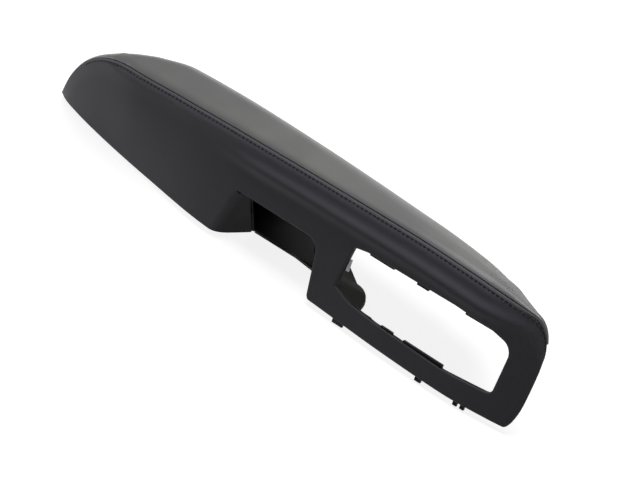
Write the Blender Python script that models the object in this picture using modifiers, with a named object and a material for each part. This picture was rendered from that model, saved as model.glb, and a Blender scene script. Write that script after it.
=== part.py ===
"""Door armrest: a leather-covered shell with a pull gap and a notched switch opening.

Metres, +Z up. The armrest stands on its door-side plane, z = 0, as it lies in a workshop.
+X runs to the end with the switches, -Y is the broad leather face, +Z points into the car.
"""

import math

import bmesh
import bpy
import numpy as np
from mathutils import Matrix, Vector

# Overall form
LENGTH = 0.592
CREST_HEIGHT = 0.1005
FOOT_LIFT = 0.0055
FIN_LENGTH = 0.260
NOSE_LENGTH = 0.118
NOSE_TIP_HEIGHT = 0.0065
NOSE_TIP_ROUND = 0.012
END_TOP_ROUND = 0.020
END_FOOT_ROUND = 0.0135
END_MIDDLE = 0.067
CREST_RADIUS = 0.013
SHOULDER_RADIUS = 0.026
STRIP_SLOPE = 0.22
BACK_RUN = 0.011
BACK_DROP = 0.041
MIDDLE_Y = 0.00265

# Plan of the long edges: (distance from the rear tip, y)
FOOT_LINE = ((0.0, 0.0090), (0.018, 0.0030), (0.074, -0.0100), (0.156, -0.0250), (0.230, -0.0360),
             (0.368, -0.0445), (0.465, -0.0505), (0.520, -0.0520), (0.565, -0.0490), (0.592, -0.0455))
CREST_LINE = ((0.0, 0.0090), (0.030, 0.0045), (0.085, -0.0015), (0.125, -0.0040), (0.180, -0.0030),
              (0.330, -0.0025), (0.430, -0.0030), (0.500, -0.0045), (0.560, -0.0060), (0.592, -0.0065))
STRIP_WIDTH = ((0.0, 0.006), (0.040, 0.006), (0.065, 0.0075), (0.080, 0.0115), (0.100, 0.0270),
               (0.120, 0.0400), (0.150, 0.0495), (0.200, 0.0490), (0.284, 0.0450), (0.400, 0.0367),
               (0.500, 0.0270), (0.540, 0.0175), (0.562, 0.0085), (0.576, 0.0040), (0.592, 0.0040))
CREST_DROP = ((0.0, 0.0), (0.12, 0.0010), (0.25, 0.0), (0.45, 0.0006), (0.592, 0.0072))

# Bead along the face below the seam
RIDGE_BELOW_BEND = 0.012
RIDGE_HEIGHT = 0.0016
RIDGE_HALF_WIDTH = 0.007
RIDGE_START = 0.215
RIDGE_FADE = 0.080

# Layers
COVER = 0.0016
GAP = 0.0003
WALL = 0.0025
PAD = 0.005
PAD_START = 0.100
PAD_END = 0.400
PAD_BLEND = 0.030
SEAM_GAP = 0.0008
SEAM_PLACE = 0.55

# Plane of the switch frame, in which both openings are laid out
FRAME_FOOT_Y = -0.0485
FRAME_LEAN = math.radians(26.1)

# Switch opening: distances back from the switch end and heights up the face
OPENING_FRONT = 0.029
OPENING_LENGTH = 0.171
OPENING_FOOT = 0.0175
OPENING_HEIGHT = 0.0525
OPENING_REAR_CORNERS = ((0.004, 0.0495, 0.003), (-0.003, 0.0100, 0.002), (0.014, 0.0035, 0.005),
                        (0.045, 0.0010, 0.020))
OPENING_FRONT_CORNERS = ((-0.050, -0.001, 0.020), (-0.003, 0.0025, 0.006), (0.0, 0.0465, 0.012),
                         (-0.021, 0.0510, 0.020), (-0.060, 0.0530, 0.030))
OPENING_TOP_CORNER = (0.018, 0.0520, 0.010)
TONGUE_REACH = 0.002
TONGUES_TOP = ((0.020, 0.026), (0.071, 0.012), (0.122, 0.028))
TONGUES_FOOT = ((0.014, 0.026), (0.052, 0.013), (0.077, 0.042))

# Pull gap: it ends a post's width behind the switch opening
POST_WIDTH = 0.031
GAP_LENGTH = 0.087
GAP_FRONT = LENGTH - OPENING_FRONT - OPENING_LENGTH - POST_WIDTH
GAP_REAR = GAP_FRONT - GAP_LENGTH
GAP_HEIGHT = 0.054
GAP_CORNER = 0.013
TUCK_LENGTH = 0.032
TUCK_Y = -0.0142
TUCK_TOP = 0.056
TUCK_BLEND = 0.022

# Carrier details
GUSSETS = (0.090, 0.150, GAP_REAR - 0.046)
GUSSET_THICKNESS = 0.002
TOWERS = ((0.120, 0.010), (GAP_REAR - 0.059, 0.012))
TOWER_DIAMETER = 0.012
TOWER_BORE_DEPTH = 0.018
INSERT_DIAMETER = 0.0070
INSERT_BORE = 0.0042
INSERT_LENGTH = 0.010
INSERT_GROOVE = 0.0005
INSERT_RECESS = 0.0010
HOOKS_TO_END = ((0.190, 0.011), (0.098, 0.006), (0.059, 0.004), (0.052, 0.004))
HOOK_THICKNESS = 0.0022
HOOK_OVERLAP = 0.005
HOOK_BARB = 0.0022
TONGUE_PARTS = (0.228, 0.397, 0.583, 0.769)
TONGUE_WIDTH = 0.010
TONGUE_DROP = 0.009
TONGUE_THICKNESS = 0.002
TONGUE_ROOT = 0.001

# Grab beam stack: boss, bracket, cup ear and screw
SCREW_PLACES = (GAP_REAR + 0.010, GAP_REAR + 0.036, GAP_REAR + 0.062)
SCREW_UP_FACE = 0.073
SHANK_DIAMETER = 0.004
HEAD_DIAMETER = 0.0085
HEAD_HEIGHT = 0.0024
SHANK_LENGTH = 0.012
HOLE_CLEARANCE = 0.0004
BOSS_DIAMETER = 0.009
BOSS_LENGTH = 0.0085
BRACKET_THICKNESS = 0.0015
BRACKET_REAR = GAP_REAR - 0.006
BRACKET_FRONT = GAP_FRONT + 0.011
BRACKET_HALF_HEIGHT = 0.010
BRACKET_FLANGE = 0.005

# Pull cup
CUP_WALL = 0.0025
CUP_FRONT_Y = -0.0087
CUP_REAR = GAP_REAR - 0.003
CUP_FRONT = GAP_FRONT - 0.019
CUP_FLANGE = 0.003
CUP_FLANGE_BACK = 0.020
LUG_END = GAP_FRONT + 0.044
LUG_RADIUS = 0.022
LUG_FOOT_Y = -0.021
CUP_EAR_TOP = 0.084
CUP_RIBS = (GAP_REAR + 0.026, GAP_REAR + 0.053)
CUP_RIB_THICKNESS = 0.002
CUP_RIB_HEIGHT = 0.034

# Spring clips and felt
CLIP_SHEET = 0.0007
CLIP_WIDTH = 0.008
SWITCH_CLIP_UP_FACE = 0.047
SWITCH_CLIP_WIDTH = 0.011
SWITCH_CLIP_LENGTH = 0.014
SWITCH_CLIP_REACH = 0.0025
SWITCH_CLIP_KINK = 0.0012
SWITCH_CLIP_GAP = 0.0005
FELT_THICKNESS = 0.0015
FELT_PARTS = ((0.279, 0.045), (0.498, 0.055), (0.684, 0.040))

# Shape of the sections
NOSE_FULLNESS = 2.0
NOSE_STEEPNESS = 0.88
NOSE_PLAN_LENGTH = 0.060
NOSE_INSET = 1.5
END_TOP_POWER = 2.0
END_FOOT_POWER = 1.8
END_SHIFT_LENGTH = 0.060
BACK_FADE_WIDTH = 0.014
BACK_LEAST = 0.05
FILLET_SHARE = 0.45
LEAST_RADIUS = 0.0005
LEAST_EDGE = 0.0008
SEAM_MOST = 0.15
VALLEY_BELOW_BEND = 0.003
VALLEY_DEPTH = 0.0006
TUCK_RETURN = 0.021
MERGE = 1e-6
TINY = 1e-9

# Rows and stations of the lofts
LOWER_ROWS = (0.0, 0.28, 0.42, 0.55, 0.68, 0.85)
RIDGE_ROWS = (0.030, 0.022, 0.0165, 0.012, 0.006, 0.0)
CREST_ROWS = (0.28, 0.8)
SHOULDER_ROWS = (0.0, 0.34, 0.67, 1.0)
NOSE_STATIONS = (0.0, 0.02, 0.06, 0.13, 0.24, 0.38, 0.55, 0.75, 1.0)
END_STATIONS = (0.78, 0.55, 0.37, 0.24, 0.14, 0.07, 0.03, 0.008, 0.0)
FIN_STEP = 0.030
TUCK_STEP = 0.0064
BEAM_STEP = 0.022
FRAME_STEP = 0.026

# Cutters and repeated shapes
CUT_BELOW = 0.020
CUT_IN = 0.014
CUT_OUT = 0.020
GAP_CUT_IN = 0.036
GAP_REAR_CORNER = 0.006
GAP_BEAM_FALL = 0.002
POST_SLANT = 0.003
POST_CORNER = 0.005
CORNER_STEPS = 4
COVER_LIFT = 0.04
SIDE_START = 5
SIDE_END = -7
PAD_LEAST = 0.35
CUP_BEND_UP_FACE = 0.052
CUP_BEND_SLOPE = 2.0
CLIP_LIP = 0.0015
LEAST_MITRE = 0.5
HEAD_CROWN = 0.55
HEAD_EDGE = 0.35
SCREW_SIDES = 16

REAR = -LENGTH / 2
FRONT = LENGTH / 2
CARRIER_DEPTH = COVER + GAP
INNER_DEPTH = CARRIER_DEPTH + WALL
SEAM_ROW = len(LOWER_ROWS) + len(RIDGE_ROWS) + 1
BOSS_FLOOR = INNER_DEPTH + WALL / 2
BOSS_TOP = INNER_DEPTH + BOSS_LENGTH
BRACKET_DEPTH = BOSS_TOP + GAP
EAR_DEPTH = BRACKET_DEPTH + BRACKET_THICKNESS + GAP + CUP_WALL / 2
HEAD_DEPTH = EAR_DEPTH + CUP_WALL / 2 + GAP
SCREW_HOLE = SHANK_DIAMETER + 2 * HOLE_CLEARANCE
FACE_UP = Vector((0, math.sin(FRAME_LEAN), math.cos(FRAME_LEAN)))
FACE_IN = Vector((0, math.cos(FRAME_LEAN), -math.sin(FRAME_LEAN)))
FRAME_ORIGIN = Vector((0, FRAME_FOOT_Y, FOOT_LIFT))


def clear_scene():
    for item in list(bpy.data.objects):
        bpy.data.objects.remove(item, do_unlink=True)


def new_collection(name):
    collection = bpy.data.collections.new(name)
    bpy.context.scene.collection.children.link(collection)
    return collection


def make_material(name, color, roughness, metallic=0.0):
    material = bpy.data.materials.new(name)
    material.use_nodes = True
    shader = material.node_tree.nodes["Principled BSDF"]
    shader.inputs["Base Color"].default_value = (*color, 1.0)
    shader.inputs["Roughness"].default_value = roughness
    shader.inputs["Metallic"].default_value = metallic
    material.diffuse_color = (*color, 1.0)
    return material


def smooth(t):
    t = min(max(t, 0.0), 1.0)
    return t * t * (3 - 2 * t)


def along(line, distance):
    """Smooth value of a line of (distance, value) points, by a monotone cubic."""
    xs = [point[0] for point in line]
    ys = [point[1] for point in line]
    steps = [(ys[i + 1] - ys[i]) / (xs[i + 1] - xs[i]) for i in range(len(xs) - 1)]
    slopes = [steps[0]]
    for before, after in zip(steps, steps[1:]):
        slopes.append(0.0 if before * after <= 0 else 2 * before * after / (before + after))
    slopes.append(steps[-1])
    distance = min(max(distance, xs[0]), xs[-1])
    i = min(max(sum(distance >= x for x in xs) - 1, 0), len(xs) - 2)
    span = xs[i + 1] - xs[i]
    t = (distance - xs[i]) / span
    a = (1 + 2 * t) * (1 - t) ** 2
    b = t * (1 - t) ** 2
    c = t * t * (3 - 2 * t)
    d = t * t * (t - 1)
    return a * ys[i] + b * span * slopes[i] + c * ys[i + 1] + d * span * slopes[i + 1]


def closing(distance, length, power=2.5):
    """0 at an end of the armrest, 1 from length onwards, along a superellipse."""
    t = min(max(distance / length, 0.0), 1.0)
    return (1 - (1 - t) ** power) ** (1 / power)


class Section:
    """Cross-section of one layer at a distance from the rear tip, as points (y, z)."""

    def __init__(self, distance, depth, extra):
        foot_y = along(FOOT_LINE, distance)
        crest_y = along(CREST_LINE, distance)
        strip = along(STRIP_WIDTH, distance)
        back = smooth((strip - BACK_FADE_WIDTH) / BACK_FADE_WIDTH) * (1 - BACK_LEAST) + BACK_LEAST
        tip_rise = NOSE_TIP_HEIGHT * (1 - closing(distance, NOSE_TIP_ROUND))
        foot = np.array((foot_y, FOOT_LIFT * smooth(distance / FIN_LENGTH) + tip_rise))
        crest = np.array((crest_y, CREST_HEIGHT - along(CREST_DROP, distance)))
        shoulder = crest + strip * np.array((1, -STRIP_SLOPE))
        heel = shoulder + back * np.array((BACK_RUN, -BACK_DROP))
        under = depth + extra
        inner_foot = level_offset(foot, crest, depth)
        inner_crest = corner_offset(foot, crest, shoulder, depth, under)
        inner_shoulder = corner_offset(crest, shoulder, heel, under, under)
        inner_heel = level_offset(heel, shoulder, -under)
        moved = stretch(inner_crest, inner_shoulder, shoulder - crest)
        inner_heel = inner_heel + moved - inner_shoulder
        inner_shoulder = moved
        inner_heel = stretch(inner_shoulder, inner_heel, heel - shoulder)
        self.up = (inner_crest - inner_foot) / np.linalg.norm(inner_crest - inner_foot)
        self.full = np.linalg.norm(inner_crest - inner_foot)
        self.close_ends(distance, inner_foot, inner_crest, inner_shoulder, inner_heel)
        self.crest_radius = max(CREST_RADIUS - depth, LEAST_RADIUS)
        self.shoulder_radius = max(SHOULDER_RADIUS - under, LEAST_RADIUS)
        self.seam_half = SEAM_GAP / 2 / (CREST_RADIUS - depth)

    def close_ends(self, distance, foot, crest, shoulder, heel):
        """Draw the corners together at the nose and at the switch end."""
        t = min(distance / NOSE_LENGTH, 1.0)
        rise = (1 - (1 - t) ** NOSE_FULLNESS) ** NOSE_STEEPNESS
        spread = closing(distance, NOSE_PLAN_LENGTH, 2)
        corners = []
        for point in (foot, crest, shoulder, heel):
            corners.append(foot + (point - foot) * np.array((spread, rise)))
        middle_part = (END_MIDDLE - foot[1]) / (crest[1] - foot[1])
        middle = foot + (crest - foot) * middle_part
        to_end = LENGTH - distance
        top = closing(to_end, END_TOP_ROUND, END_TOP_POWER)
        below = closing(to_end, END_FOOT_ROUND, END_FOOT_POWER)
        self.foot = middle + (corners[0] - middle) * below
        self.crest, self.shoulder, self.heel = [middle + (p - middle) * top for p in corners[1:]]

    def rows(self, outer):
        """Points from foot to heel, each with its outer row's distance below the bend."""
        first, crest_arc = fillet(self.foot, self.crest, self.shoulder, self.crest_radius)
        shoulder_arc = fillet(self.crest, self.shoulder, self.heel, self.shoulder_radius)[1]
        start = crest_arc(0)
        bend, foot = outer.bend(), outer.foot
        face = np.linalg.norm(bend - foot)
        scale = min(face / outer.full, 1.0)
        zone = RIDGE_ROWS[0] * scale
        up = unit(bend - foot)
        lowered = max(float((bend - start) @ up), 0.0)
        points = []
        for part in LOWER_ROWS:
            below = face + (zone - face) * part
            points.append((start - up * (below - lowered), below / max(scale, TINY)))
        points[0] = (self.foot, points[0][1])
        for row in RIDGE_ROWS:
            below = lowered + (zone - lowered) * row / RIDGE_ROWS[0]
            points.append((start - up * (below - lowered), below / max(scale, TINY)))
        half = min(self.seam_half / max(first, TINY), SEAM_MOST)
        for part in (CREST_ROWS[0], SEAM_PLACE - half, SEAM_PLACE + half, CREST_ROWS[1], 1):
            points.append((crest_arc(part), None))
        points.append(((crest_arc(1) + shoulder_arc(0)) / 2, None))
        for part in SHOULDER_ROWS:
            points.append((shoulder_arc(part), None))
        points.append(((shoulder_arc(1) + self.heel) / 2, None))
        points.append((self.heel, None))
        return points

    def bend(self):
        """Where the face starts to roll over towards the seam."""
        return fillet(self.foot, self.crest, self.shoulder, self.crest_radius)[1](0)


def unit(vector):
    return vector / max(np.linalg.norm(vector), TINY)


def inward(start, end):
    """Normal of an outline's edge on the side of the hollow."""
    y, z = unit(end - start)
    return np.array((z, -y))


def stretch(start, end, way):
    """The end moved on along the way, where it lies too near the start or behind it."""
    way = unit(way)
    return end + way * max(LEAST_EDGE - float((end - start) @ way), 0.0)


def level_offset(point, neighbour, depth):
    """The point moved sideways, at its own height, onto its edge's offset line."""
    normal = inward(point, neighbour)
    return point + np.array((depth / normal[0], 0.0))


def corner_offset(before, corner, after, depth_before, depth_after):
    """The corner of two edges that are each moved inwards by a depth."""
    first, second = inward(before, corner), inward(corner, after)
    matrix = np.array((first, second))
    right = np.array((first @ corner + depth_before, second @ corner + depth_after))
    return np.linalg.solve(matrix, right)


def fillet(before, corner, after, radius):
    """The bend's angle, and its arc as a function of a part from 0 to 1."""
    back, ahead = before - corner, after - corner
    back_length, ahead_length = np.linalg.norm(back), np.linalg.norm(ahead)
    back, ahead = unit(back), unit(ahead)
    turn = math.pi - math.acos(max(min(float(back @ ahead), 1.0), -1.0))
    reach = radius * math.tan(turn / 2)
    reach = min(reach, FILLET_SHARE * back_length, FILLET_SHARE * ahead_length)
    used = reach / max(math.tan(turn / 2), TINY)
    start, end = corner + back * reach, corner + ahead * reach
    bisector = unit(back + ahead)
    centre = corner + bisector * used / max(math.cos(turn / 2), TINY)

    def arc(part):
        if used < TINY:
            return start + (end - start) * part
        blend = math.sin(turn * (1 - part)) * (start - centre) + math.sin(turn * part) * (end - centre)
        return centre + blend / math.sin(turn)

    return turn, arc


def bead(below):
    """Height of the bead that runs along the face below the seam."""
    if below is None:
        return 0.0
    crown = math.exp(-((below - RIDGE_BELOW_BEND) / RIDGE_HALF_WIDTH) ** 2)
    valley = math.exp(-((below - VALLEY_BELOW_BEND) / RIDGE_HALF_WIDTH) ** 2)
    return RIDGE_HEIGHT * crown - VALLEY_DEPTH * valley


def tuck(distance, y, z):
    """How far the rear side of the pull gap rolls in, to stand upright before the cup."""
    rolled = smooth((distance - GAP_REAR + TUCK_LENGTH) / TUCK_LENGTH)
    beyond = 1 - smooth((distance - GAP_REAR) / TUCK_RETURN)
    fade = smooth((TUCK_TOP - z) / TUCK_BLEND)
    return max(TUCK_Y - y, 0.0) * rolled * beyond * fade


def pad_part(distance):
    start = smooth((distance - PAD_START + PAD_BLEND) / PAD_BLEND)
    end = smooth((PAD_END + PAD_BLEND - distance) / PAD_BLEND)
    return min(start, end)


def layer_rows(distance, depth, extra=0.0):
    """Points of one layer's section in space."""
    section, skin = Section(distance, depth, extra), Section(distance, 0.0, 0.0)
    rear_shift = NOSE_INSET * depth * (1 - smooth(distance / NOSE_LENGTH))
    front_shift = depth * smooth((distance - LENGTH + END_SHIFT_LENGTH) / END_SHIFT_LENGTH)
    x = REAR + distance + rear_shift - front_shift
    beaded = smooth((distance - RIDGE_START) / RIDGE_FADE) * smooth((LENGTH - distance) / RIDGE_FADE)
    out = -inward(section.foot, section.foot + section.up)
    points = []
    for (place, below), (above, _) in zip(section.rows(skin), skin.rows(skin)):
        y, z = place + out * bead(below) * beaded
        rolled = tuck(distance, *above) if below is not None else 0.0
        points.append(Vector((x, y + rolled, z)))
    return points


def stations():
    """Distances of the sections from the rear tip, close together where the form turns."""
    nose = [NOSE_LENGTH * part for part in NOSE_STATIONS]
    fin_end = GAP_REAR - TUCK_LENGTH
    fin = spaced(NOSE_LENGTH, fin_end - TUCK_STEP, FIN_STEP)
    roll = spaced(fin_end, GAP_REAR, TUCK_STEP)
    beam = spaced(GAP_REAR + TUCK_RETURN, GAP_FRONT, BEAM_STEP)
    frame_start = GAP_FRONT + BEAM_STEP
    frame = spaced(frame_start, LENGTH - END_TOP_ROUND, FRAME_STEP)
    end = [LENGTH - END_TOP_ROUND * part for part in END_STATIONS]
    return nose + fin[1:] + roll + beam + frame + end


def spaced(start, end, step):
    count = max(round((end - start) / step), 1)
    return [start + (end - start) * i / count for i in range(count + 1)]


def layer_solid(outer, inner):
    """Closed shell between two grids of points with the same rows and columns."""
    mesh = bmesh.new()
    grids = [[[mesh.verts.new(p) for p in row] for row in grid] for grid in (outer, inner)]
    columns, rows = len(outer), len(outer[0])
    for i in range(columns - 1):
        for j in range(rows - 1):
            for grid in grids:
                mesh.faces.new((grid[i][j], grid[i + 1][j], grid[i + 1][j + 1], grid[i][j + 1]))
    skin, lining = grids
    for i in range(columns - 1):
        for j in (0, rows - 1):
            mesh.faces.new((skin[i][j], skin[i + 1][j], lining[i + 1][j], lining[i][j]))
    for j in range(rows - 1):
        for i in (0, columns - 1):
            mesh.faces.new((skin[i][j], skin[i][j + 1], lining[i][j + 1], lining[i][j]))
    bmesh.ops.remove_doubles(mesh, verts=mesh.verts, dist=MERGE)
    bmesh.ops.recalc_face_normals(mesh, faces=mesh.faces)
    return mesh


def add_object(name, mesh, collection, material=None, smooth_angle=math.radians(35)):
    data = bpy.data.meshes.new(name)
    mesh.to_mesh(data)
    mesh.free()
    item = bpy.data.objects.new(name, data)
    collection.objects.link(item)
    if material:
        data.materials.append(material)
        data.shade_smooth()
        data.set_sharp_from_angle(angle=smooth_angle)
    return item


def layer_grid(depth, extra, places, rows=slice(None)):
    return [layer_rows(d, depth, extra(d))[rows] for d in places]


def no_extra(distance):
    """The leather lies directly on the carrier."""
    return 0.0


def carrier_extra(distance):
    return PAD * pad_part(distance) + GAP


def pad_extra(distance):
    return PAD * pad_part(distance)


def face_frame(distance):
    """Axes of the face at a distance from the tip: along, up the face, and out of it."""
    foot_y = along(FOOT_LINE, distance)
    crest_y = along(CREST_LINE, distance)
    rise = CREST_HEIGHT - along(CREST_DROP, distance) - FOOT_LIFT
    up = Vector((0, crest_y - foot_y, rise)).normalized()
    out = Vector((1, 0, 0)).cross(up)
    origin = Vector((REAR + distance, foot_y, FOOT_LIFT))
    return axes_matrix(Vector((1, 0, 0)), up, out, origin)


def axes_matrix(x_axis, y_axis, z_axis, origin):
    matrix = Matrix((x_axis, y_axis, z_axis)).transposed().to_4x4()
    matrix.translation = origin
    return matrix


def rounded(corners):
    """Outline through corners (x, y, radius), with an arc at each that has a radius."""
    points = []
    for i, (x, y, radius) in enumerate(corners):
        corner = np.array((x, y))
        if radius == 0:
            points.append((x, y))
            continue
        before = np.array(corners[i - 1][:2])
        after = np.array(corners[(i + 1) % len(corners)][:2])
        arc = fillet(before, corner, after, radius)[1]
        points += [tuple(arc(step / CORNER_STEPS)) for step in range(CORNER_STEPS + 1)]
    return points


def plate(name, outline, low, high, matrix, collection, material=None):
    """Flat outline in the matrix's XY plane, from low to high along its Z, as a mesh."""
    curve = bpy.data.curves.new(name, "CURVE")
    curve.dimensions = "2D"
    curve.fill_mode = "BOTH"
    curve.extrude = (high - low) / 2
    spline = curve.splines.new("POLY")
    spline.points.add(len(outline) - 1)
    for point, place in zip(spline.points, outline):
        point.co = (*place, 0, 1)
    spline.use_cyclic_u = True
    source = bpy.data.objects.new(name, curve)
    bpy.context.scene.collection.objects.link(source)
    bpy.context.view_layer.update()
    data = bpy.data.meshes.new_from_object(source.evaluated_get(bpy.context.evaluated_depsgraph_get()))
    bpy.data.objects.remove(source)
    mesh = bmesh.new()
    mesh.from_mesh(data)
    bmesh.ops.remove_doubles(mesh, verts=mesh.verts, dist=MERGE)
    bmesh.ops.recalc_face_normals(mesh, faces=mesh.faces)
    mesh.transform(matrix @ Matrix.Translation((0, 0, (low + high) / 2)))
    return add_object(name, mesh, collection, material)


def sheet_outline(path, thickness):
    """Outline of a bent sheet whose middle follows the path."""
    path = [np.array(p) for p in path]
    left, right = [], []
    for i, point in enumerate(path):
        before = unit(point - path[i - 1]) if i else None
        after = unit(path[i + 1] - point) if i < len(path) - 1 else None
        if before is None:
            before = after
        if after is None:
            after = before
        along_path = unit(before + after)
        normal = np.array((-along_path[1], along_path[0]))
        mitre = max(float(normal @ np.array((-before[1], before[0]))), LEAST_MITRE)
        reach = thickness / 2 / mitre
        left.append(tuple(point + normal * reach))
        right.append(tuple(point - normal * reach))
    return left + right[::-1]


def rod(name, diameter, start, end, collection, sides=20):
    """Cylinder between two points."""
    mesh = bmesh.new()
    axis = end - start
    bmesh.ops.create_cone(mesh, cap_ends=True, segments=sides, radius1=diameter / 2,
                          radius2=diameter / 2, depth=axis.length)
    turn = axis.to_track_quat("Z", "Y").to_matrix().to_4x4()
    mesh.transform(Matrix.Translation((start + end) / 2) @ turn)
    return add_object(name, mesh, collection)


def block(name, low, high, matrix, collection):
    """Box between two corners of the matrix's axes."""
    mesh = bmesh.new()
    bmesh.ops.create_cube(mesh, size=1)
    size = [b - a for a, b in zip(low, high)]
    middle = [(a + b) / 2 for a, b in zip(low, high)]
    mesh.transform(matrix @ Matrix.Translation(middle) @ Matrix.Diagonal((*size, 1)))
    return add_object(name, mesh, collection)


def combine(item, others, operation):
    for other in others:
        modifier = item.modifiers.new(other.name, "BOOLEAN")
        modifier.operation = operation
        modifier.object = other
        other.hide_render = True
        other.display_type = "WIRE"


def gap_outline():
    rear, front = REAR + GAP_REAR, REAR + GAP_FRONT
    return rounded((
        (rear, -CUT_BELOW, 0),
        (rear, GAP_HEIGHT, GAP_REAR_CORNER),
        (front - GAP_BEAM_FALL, GAP_HEIGHT, GAP_CORNER),
        (front + POST_SLANT, POST_CORNER, POST_CORNER),
        (front + CUT_BELOW, -CUT_BELOW, 0),
    ))


def opening_outline():
    """Corners from the top of the rear end, down and round to the top again."""
    front = FRONT - OPENING_FRONT
    rear = front - OPENING_LENGTH
    corners = [(rear, *corner) for corner in OPENING_REAR_CORNERS]
    corners += [(front, *corner) for corner in OPENING_FRONT_CORNERS]
    corners.append((rear, *OPENING_TOP_CORNER))
    return rounded([(end + x, OPENING_FOOT + up, radius) for end, x, up, radius in corners])


def opening_cutters(collection):
    """The leather's smooth opening, and the carrier's, which its tongues reach into."""
    matrix = axes_matrix(Vector((1, 0, 0)), FACE_UP, -FACE_IN, FRAME_ORIGIN)
    smooth_cut = plate("leather_opening", opening_outline(), -CUT_IN, CUT_OUT, matrix, collection)
    notched_cut = plate("carrier_opening", opening_outline(), -CUT_IN, CUT_OUT, matrix, collection)
    rear = FRONT - OPENING_FRONT - OPENING_LENGTH
    top = OPENING_FOOT + OPENING_HEIGHT
    tongues = []
    for i, (place, width) in enumerate(TONGUES_TOP):
        low = (rear + place, top - TONGUE_REACH, -2 * CUT_IN)
        high = (rear + place + width, top + CUT_OUT, 2 * CUT_OUT)
        tongues.append(block(f"top_tongue_{i + 1}", low, high, matrix, collection))
    for i, (place, width) in enumerate(TONGUES_FOOT):
        low = (rear + place, OPENING_FOOT - CUT_OUT, -2 * CUT_IN)
        high = (rear + place + width, OPENING_FOOT + TONGUE_REACH, 2 * CUT_OUT)
        tongues.append(block(f"foot_tongue_{i + 1}", low, high, matrix, collection))
    combine(notched_cut, tongues, "DIFFERENCE")
    gap_cut = plate("pull_gap", gap_outline(), -GAP_CUT_IN, CUT_OUT, matrix, collection)
    return smooth_cut, notched_cut, gap_cut


def make_carrier(places, cuts, collection, cutters, material):
    outer = layer_grid(CARRIER_DEPTH, carrier_extra, places)
    inner = layer_grid(INNER_DEPTH, carrier_extra, places)
    carrier = add_object("carrier", layer_solid(outer, inner), collection, material)
    additions = gussets(cutters) + towers(cutters) + hooks(cutters)
    additions += clip_tongues(cutters) + bosses(cutters)
    combine(carrier, cuts, "DIFFERENCE")
    combine(carrier, additions, "UNION")
    combine(carrier, bores(cutters), "DIFFERENCE")
    return carrier


def gussets(collection):
    """Cross plates that fill the hollow between the face and the strip."""
    plates = []
    for i, distance in enumerate(GUSSETS):
        x = REAR + distance
        half = GUSSET_THICKNESS / 2
        section = layer_rows(distance, CARRIER_DEPTH + WALL / 2, carrier_extra(distance))
        outline = [(p.y, p.z) for p in section]
        matrix = axes_matrix(Vector((0, 1, 0)), Vector((0, 0, 1)), Vector((1, 0, 0)), Vector((x, 0, 0)))
        plates.append(plate(f"gusset_{i + 1}", outline, -half, half, matrix, collection))
    return plates


def tower_top(distance, y):
    """Middle of the carrier's wall above a tower."""
    rise = CREST_HEIGHT - along(CREST_DROP, distance)
    out_y = y - along(CREST_LINE, distance)
    return rise - STRIP_SLOPE * out_y - CARRIER_DEPTH - carrier_extra(distance) - WALL / 2


def towers(collection):
    items = []
    for i, (distance, y) in enumerate(TOWERS):
        start = Vector((REAR + distance, y, 0))
        end = Vector((REAR + distance, y, tower_top(distance, y)))
        items.append(rod(f"tower_{i + 1}", TOWER_DIAMETER, start, end, collection))
    return items


def bores(collection):
    """Holes of the towers' inserts and of the bosses behind the beam."""
    items = []
    tower_bore = INSERT_DIAMETER + 2 * GAP
    for i, (distance, y) in enumerate(TOWERS):
        start = Vector((REAR + distance, y, -TOWER_BORE_DEPTH))
        end = Vector((REAR + distance, y, TOWER_BORE_DEPTH))
        items.append(rod(f"tower_bore_{i + 1}", tower_bore, start, end, collection))
    for i, distance in enumerate(SCREW_PLACES):
        low, high = BOSS_FLOOR, BOSS_TOP + BOSS_LENGTH
        items.append(beam_rod(f"boss_bore_{i + 1}", SCREW_HOLE, distance, low, high, collection))
    return items


def beam_point(distance, depth, up=None):
    """A point of the stack behind the beam, at a depth below the leather."""
    matrix = face_frame(SCREW_PLACES[1])
    place = Vector((distance - SCREW_PLACES[1], SCREW_UP_FACE if up is None else up, -depth))
    return matrix @ place


def beam_rod(name, diameter, distance, low, high, collection):
    return rod(name, diameter, beam_point(distance, low), beam_point(distance, high), collection)


def bosses(collection):
    items = []
    for i, distance in enumerate(SCREW_PLACES):
        low = INNER_DEPTH - WALL / 2
        items.append(beam_rod(f"boss_{i + 1}", BOSS_DIAMETER, distance, low, BOSS_TOP, collection))
    return items


def hooks(collection):
    """Hook tabs that stand proud of the door-side edge, each with a barb at its tip."""
    items = []
    for i, (to_end, width) in enumerate(HOOKS_TO_END):
        matrix = face_frame(LENGTH - to_end)
        near = CARRIER_DEPTH + GAP
        far = near + HOOK_THICKNESS
        up, out = matrix.col[1].z, matrix.col[2].z
        tip = -(FOOT_LIFT - far * out) / up
        low, high = (-width / 2, tip, -far), (width / 2, HOOK_OVERLAP, -near)
        items.append(block(f"hook_{i + 1}", low, high, matrix, collection))
        barb_low = (-width / 2, tip + HOOK_BARB / 2, -far - HOOK_BARB)
        barb_high = (width / 2 - HOOK_BARB, tip + HOOK_BARB * 1.5, -near - HOOK_THICKNESS / 2)
        items.append(block(f"hook_barb_{i + 1}", barb_low, barb_high, matrix, collection))
    return items


def tongue_place(distance):
    """Middle of the carrier's wall at its hidden edge."""
    outer = layer_rows(distance, CARRIER_DEPTH, carrier_extra(distance))[-1]
    inner = layer_rows(distance, INNER_DEPTH, carrier_extra(distance))[-1]
    return (outer + inner) / 2


def clip_tongues(collection):
    items = []
    for i, part in enumerate(TONGUE_PARTS):
        matrix = Matrix.Translation(tongue_place(LENGTH * part))
        low = (-TONGUE_WIDTH / 2, -TONGUE_THICKNESS / 2, -TONGUE_DROP)
        high = (TONGUE_WIDTH / 2, TONGUE_THICKNESS / 2, TONGUE_ROOT)
        items.append(block(f"tongue_{i + 1}", low, high, matrix, collection))
    return items


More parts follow.
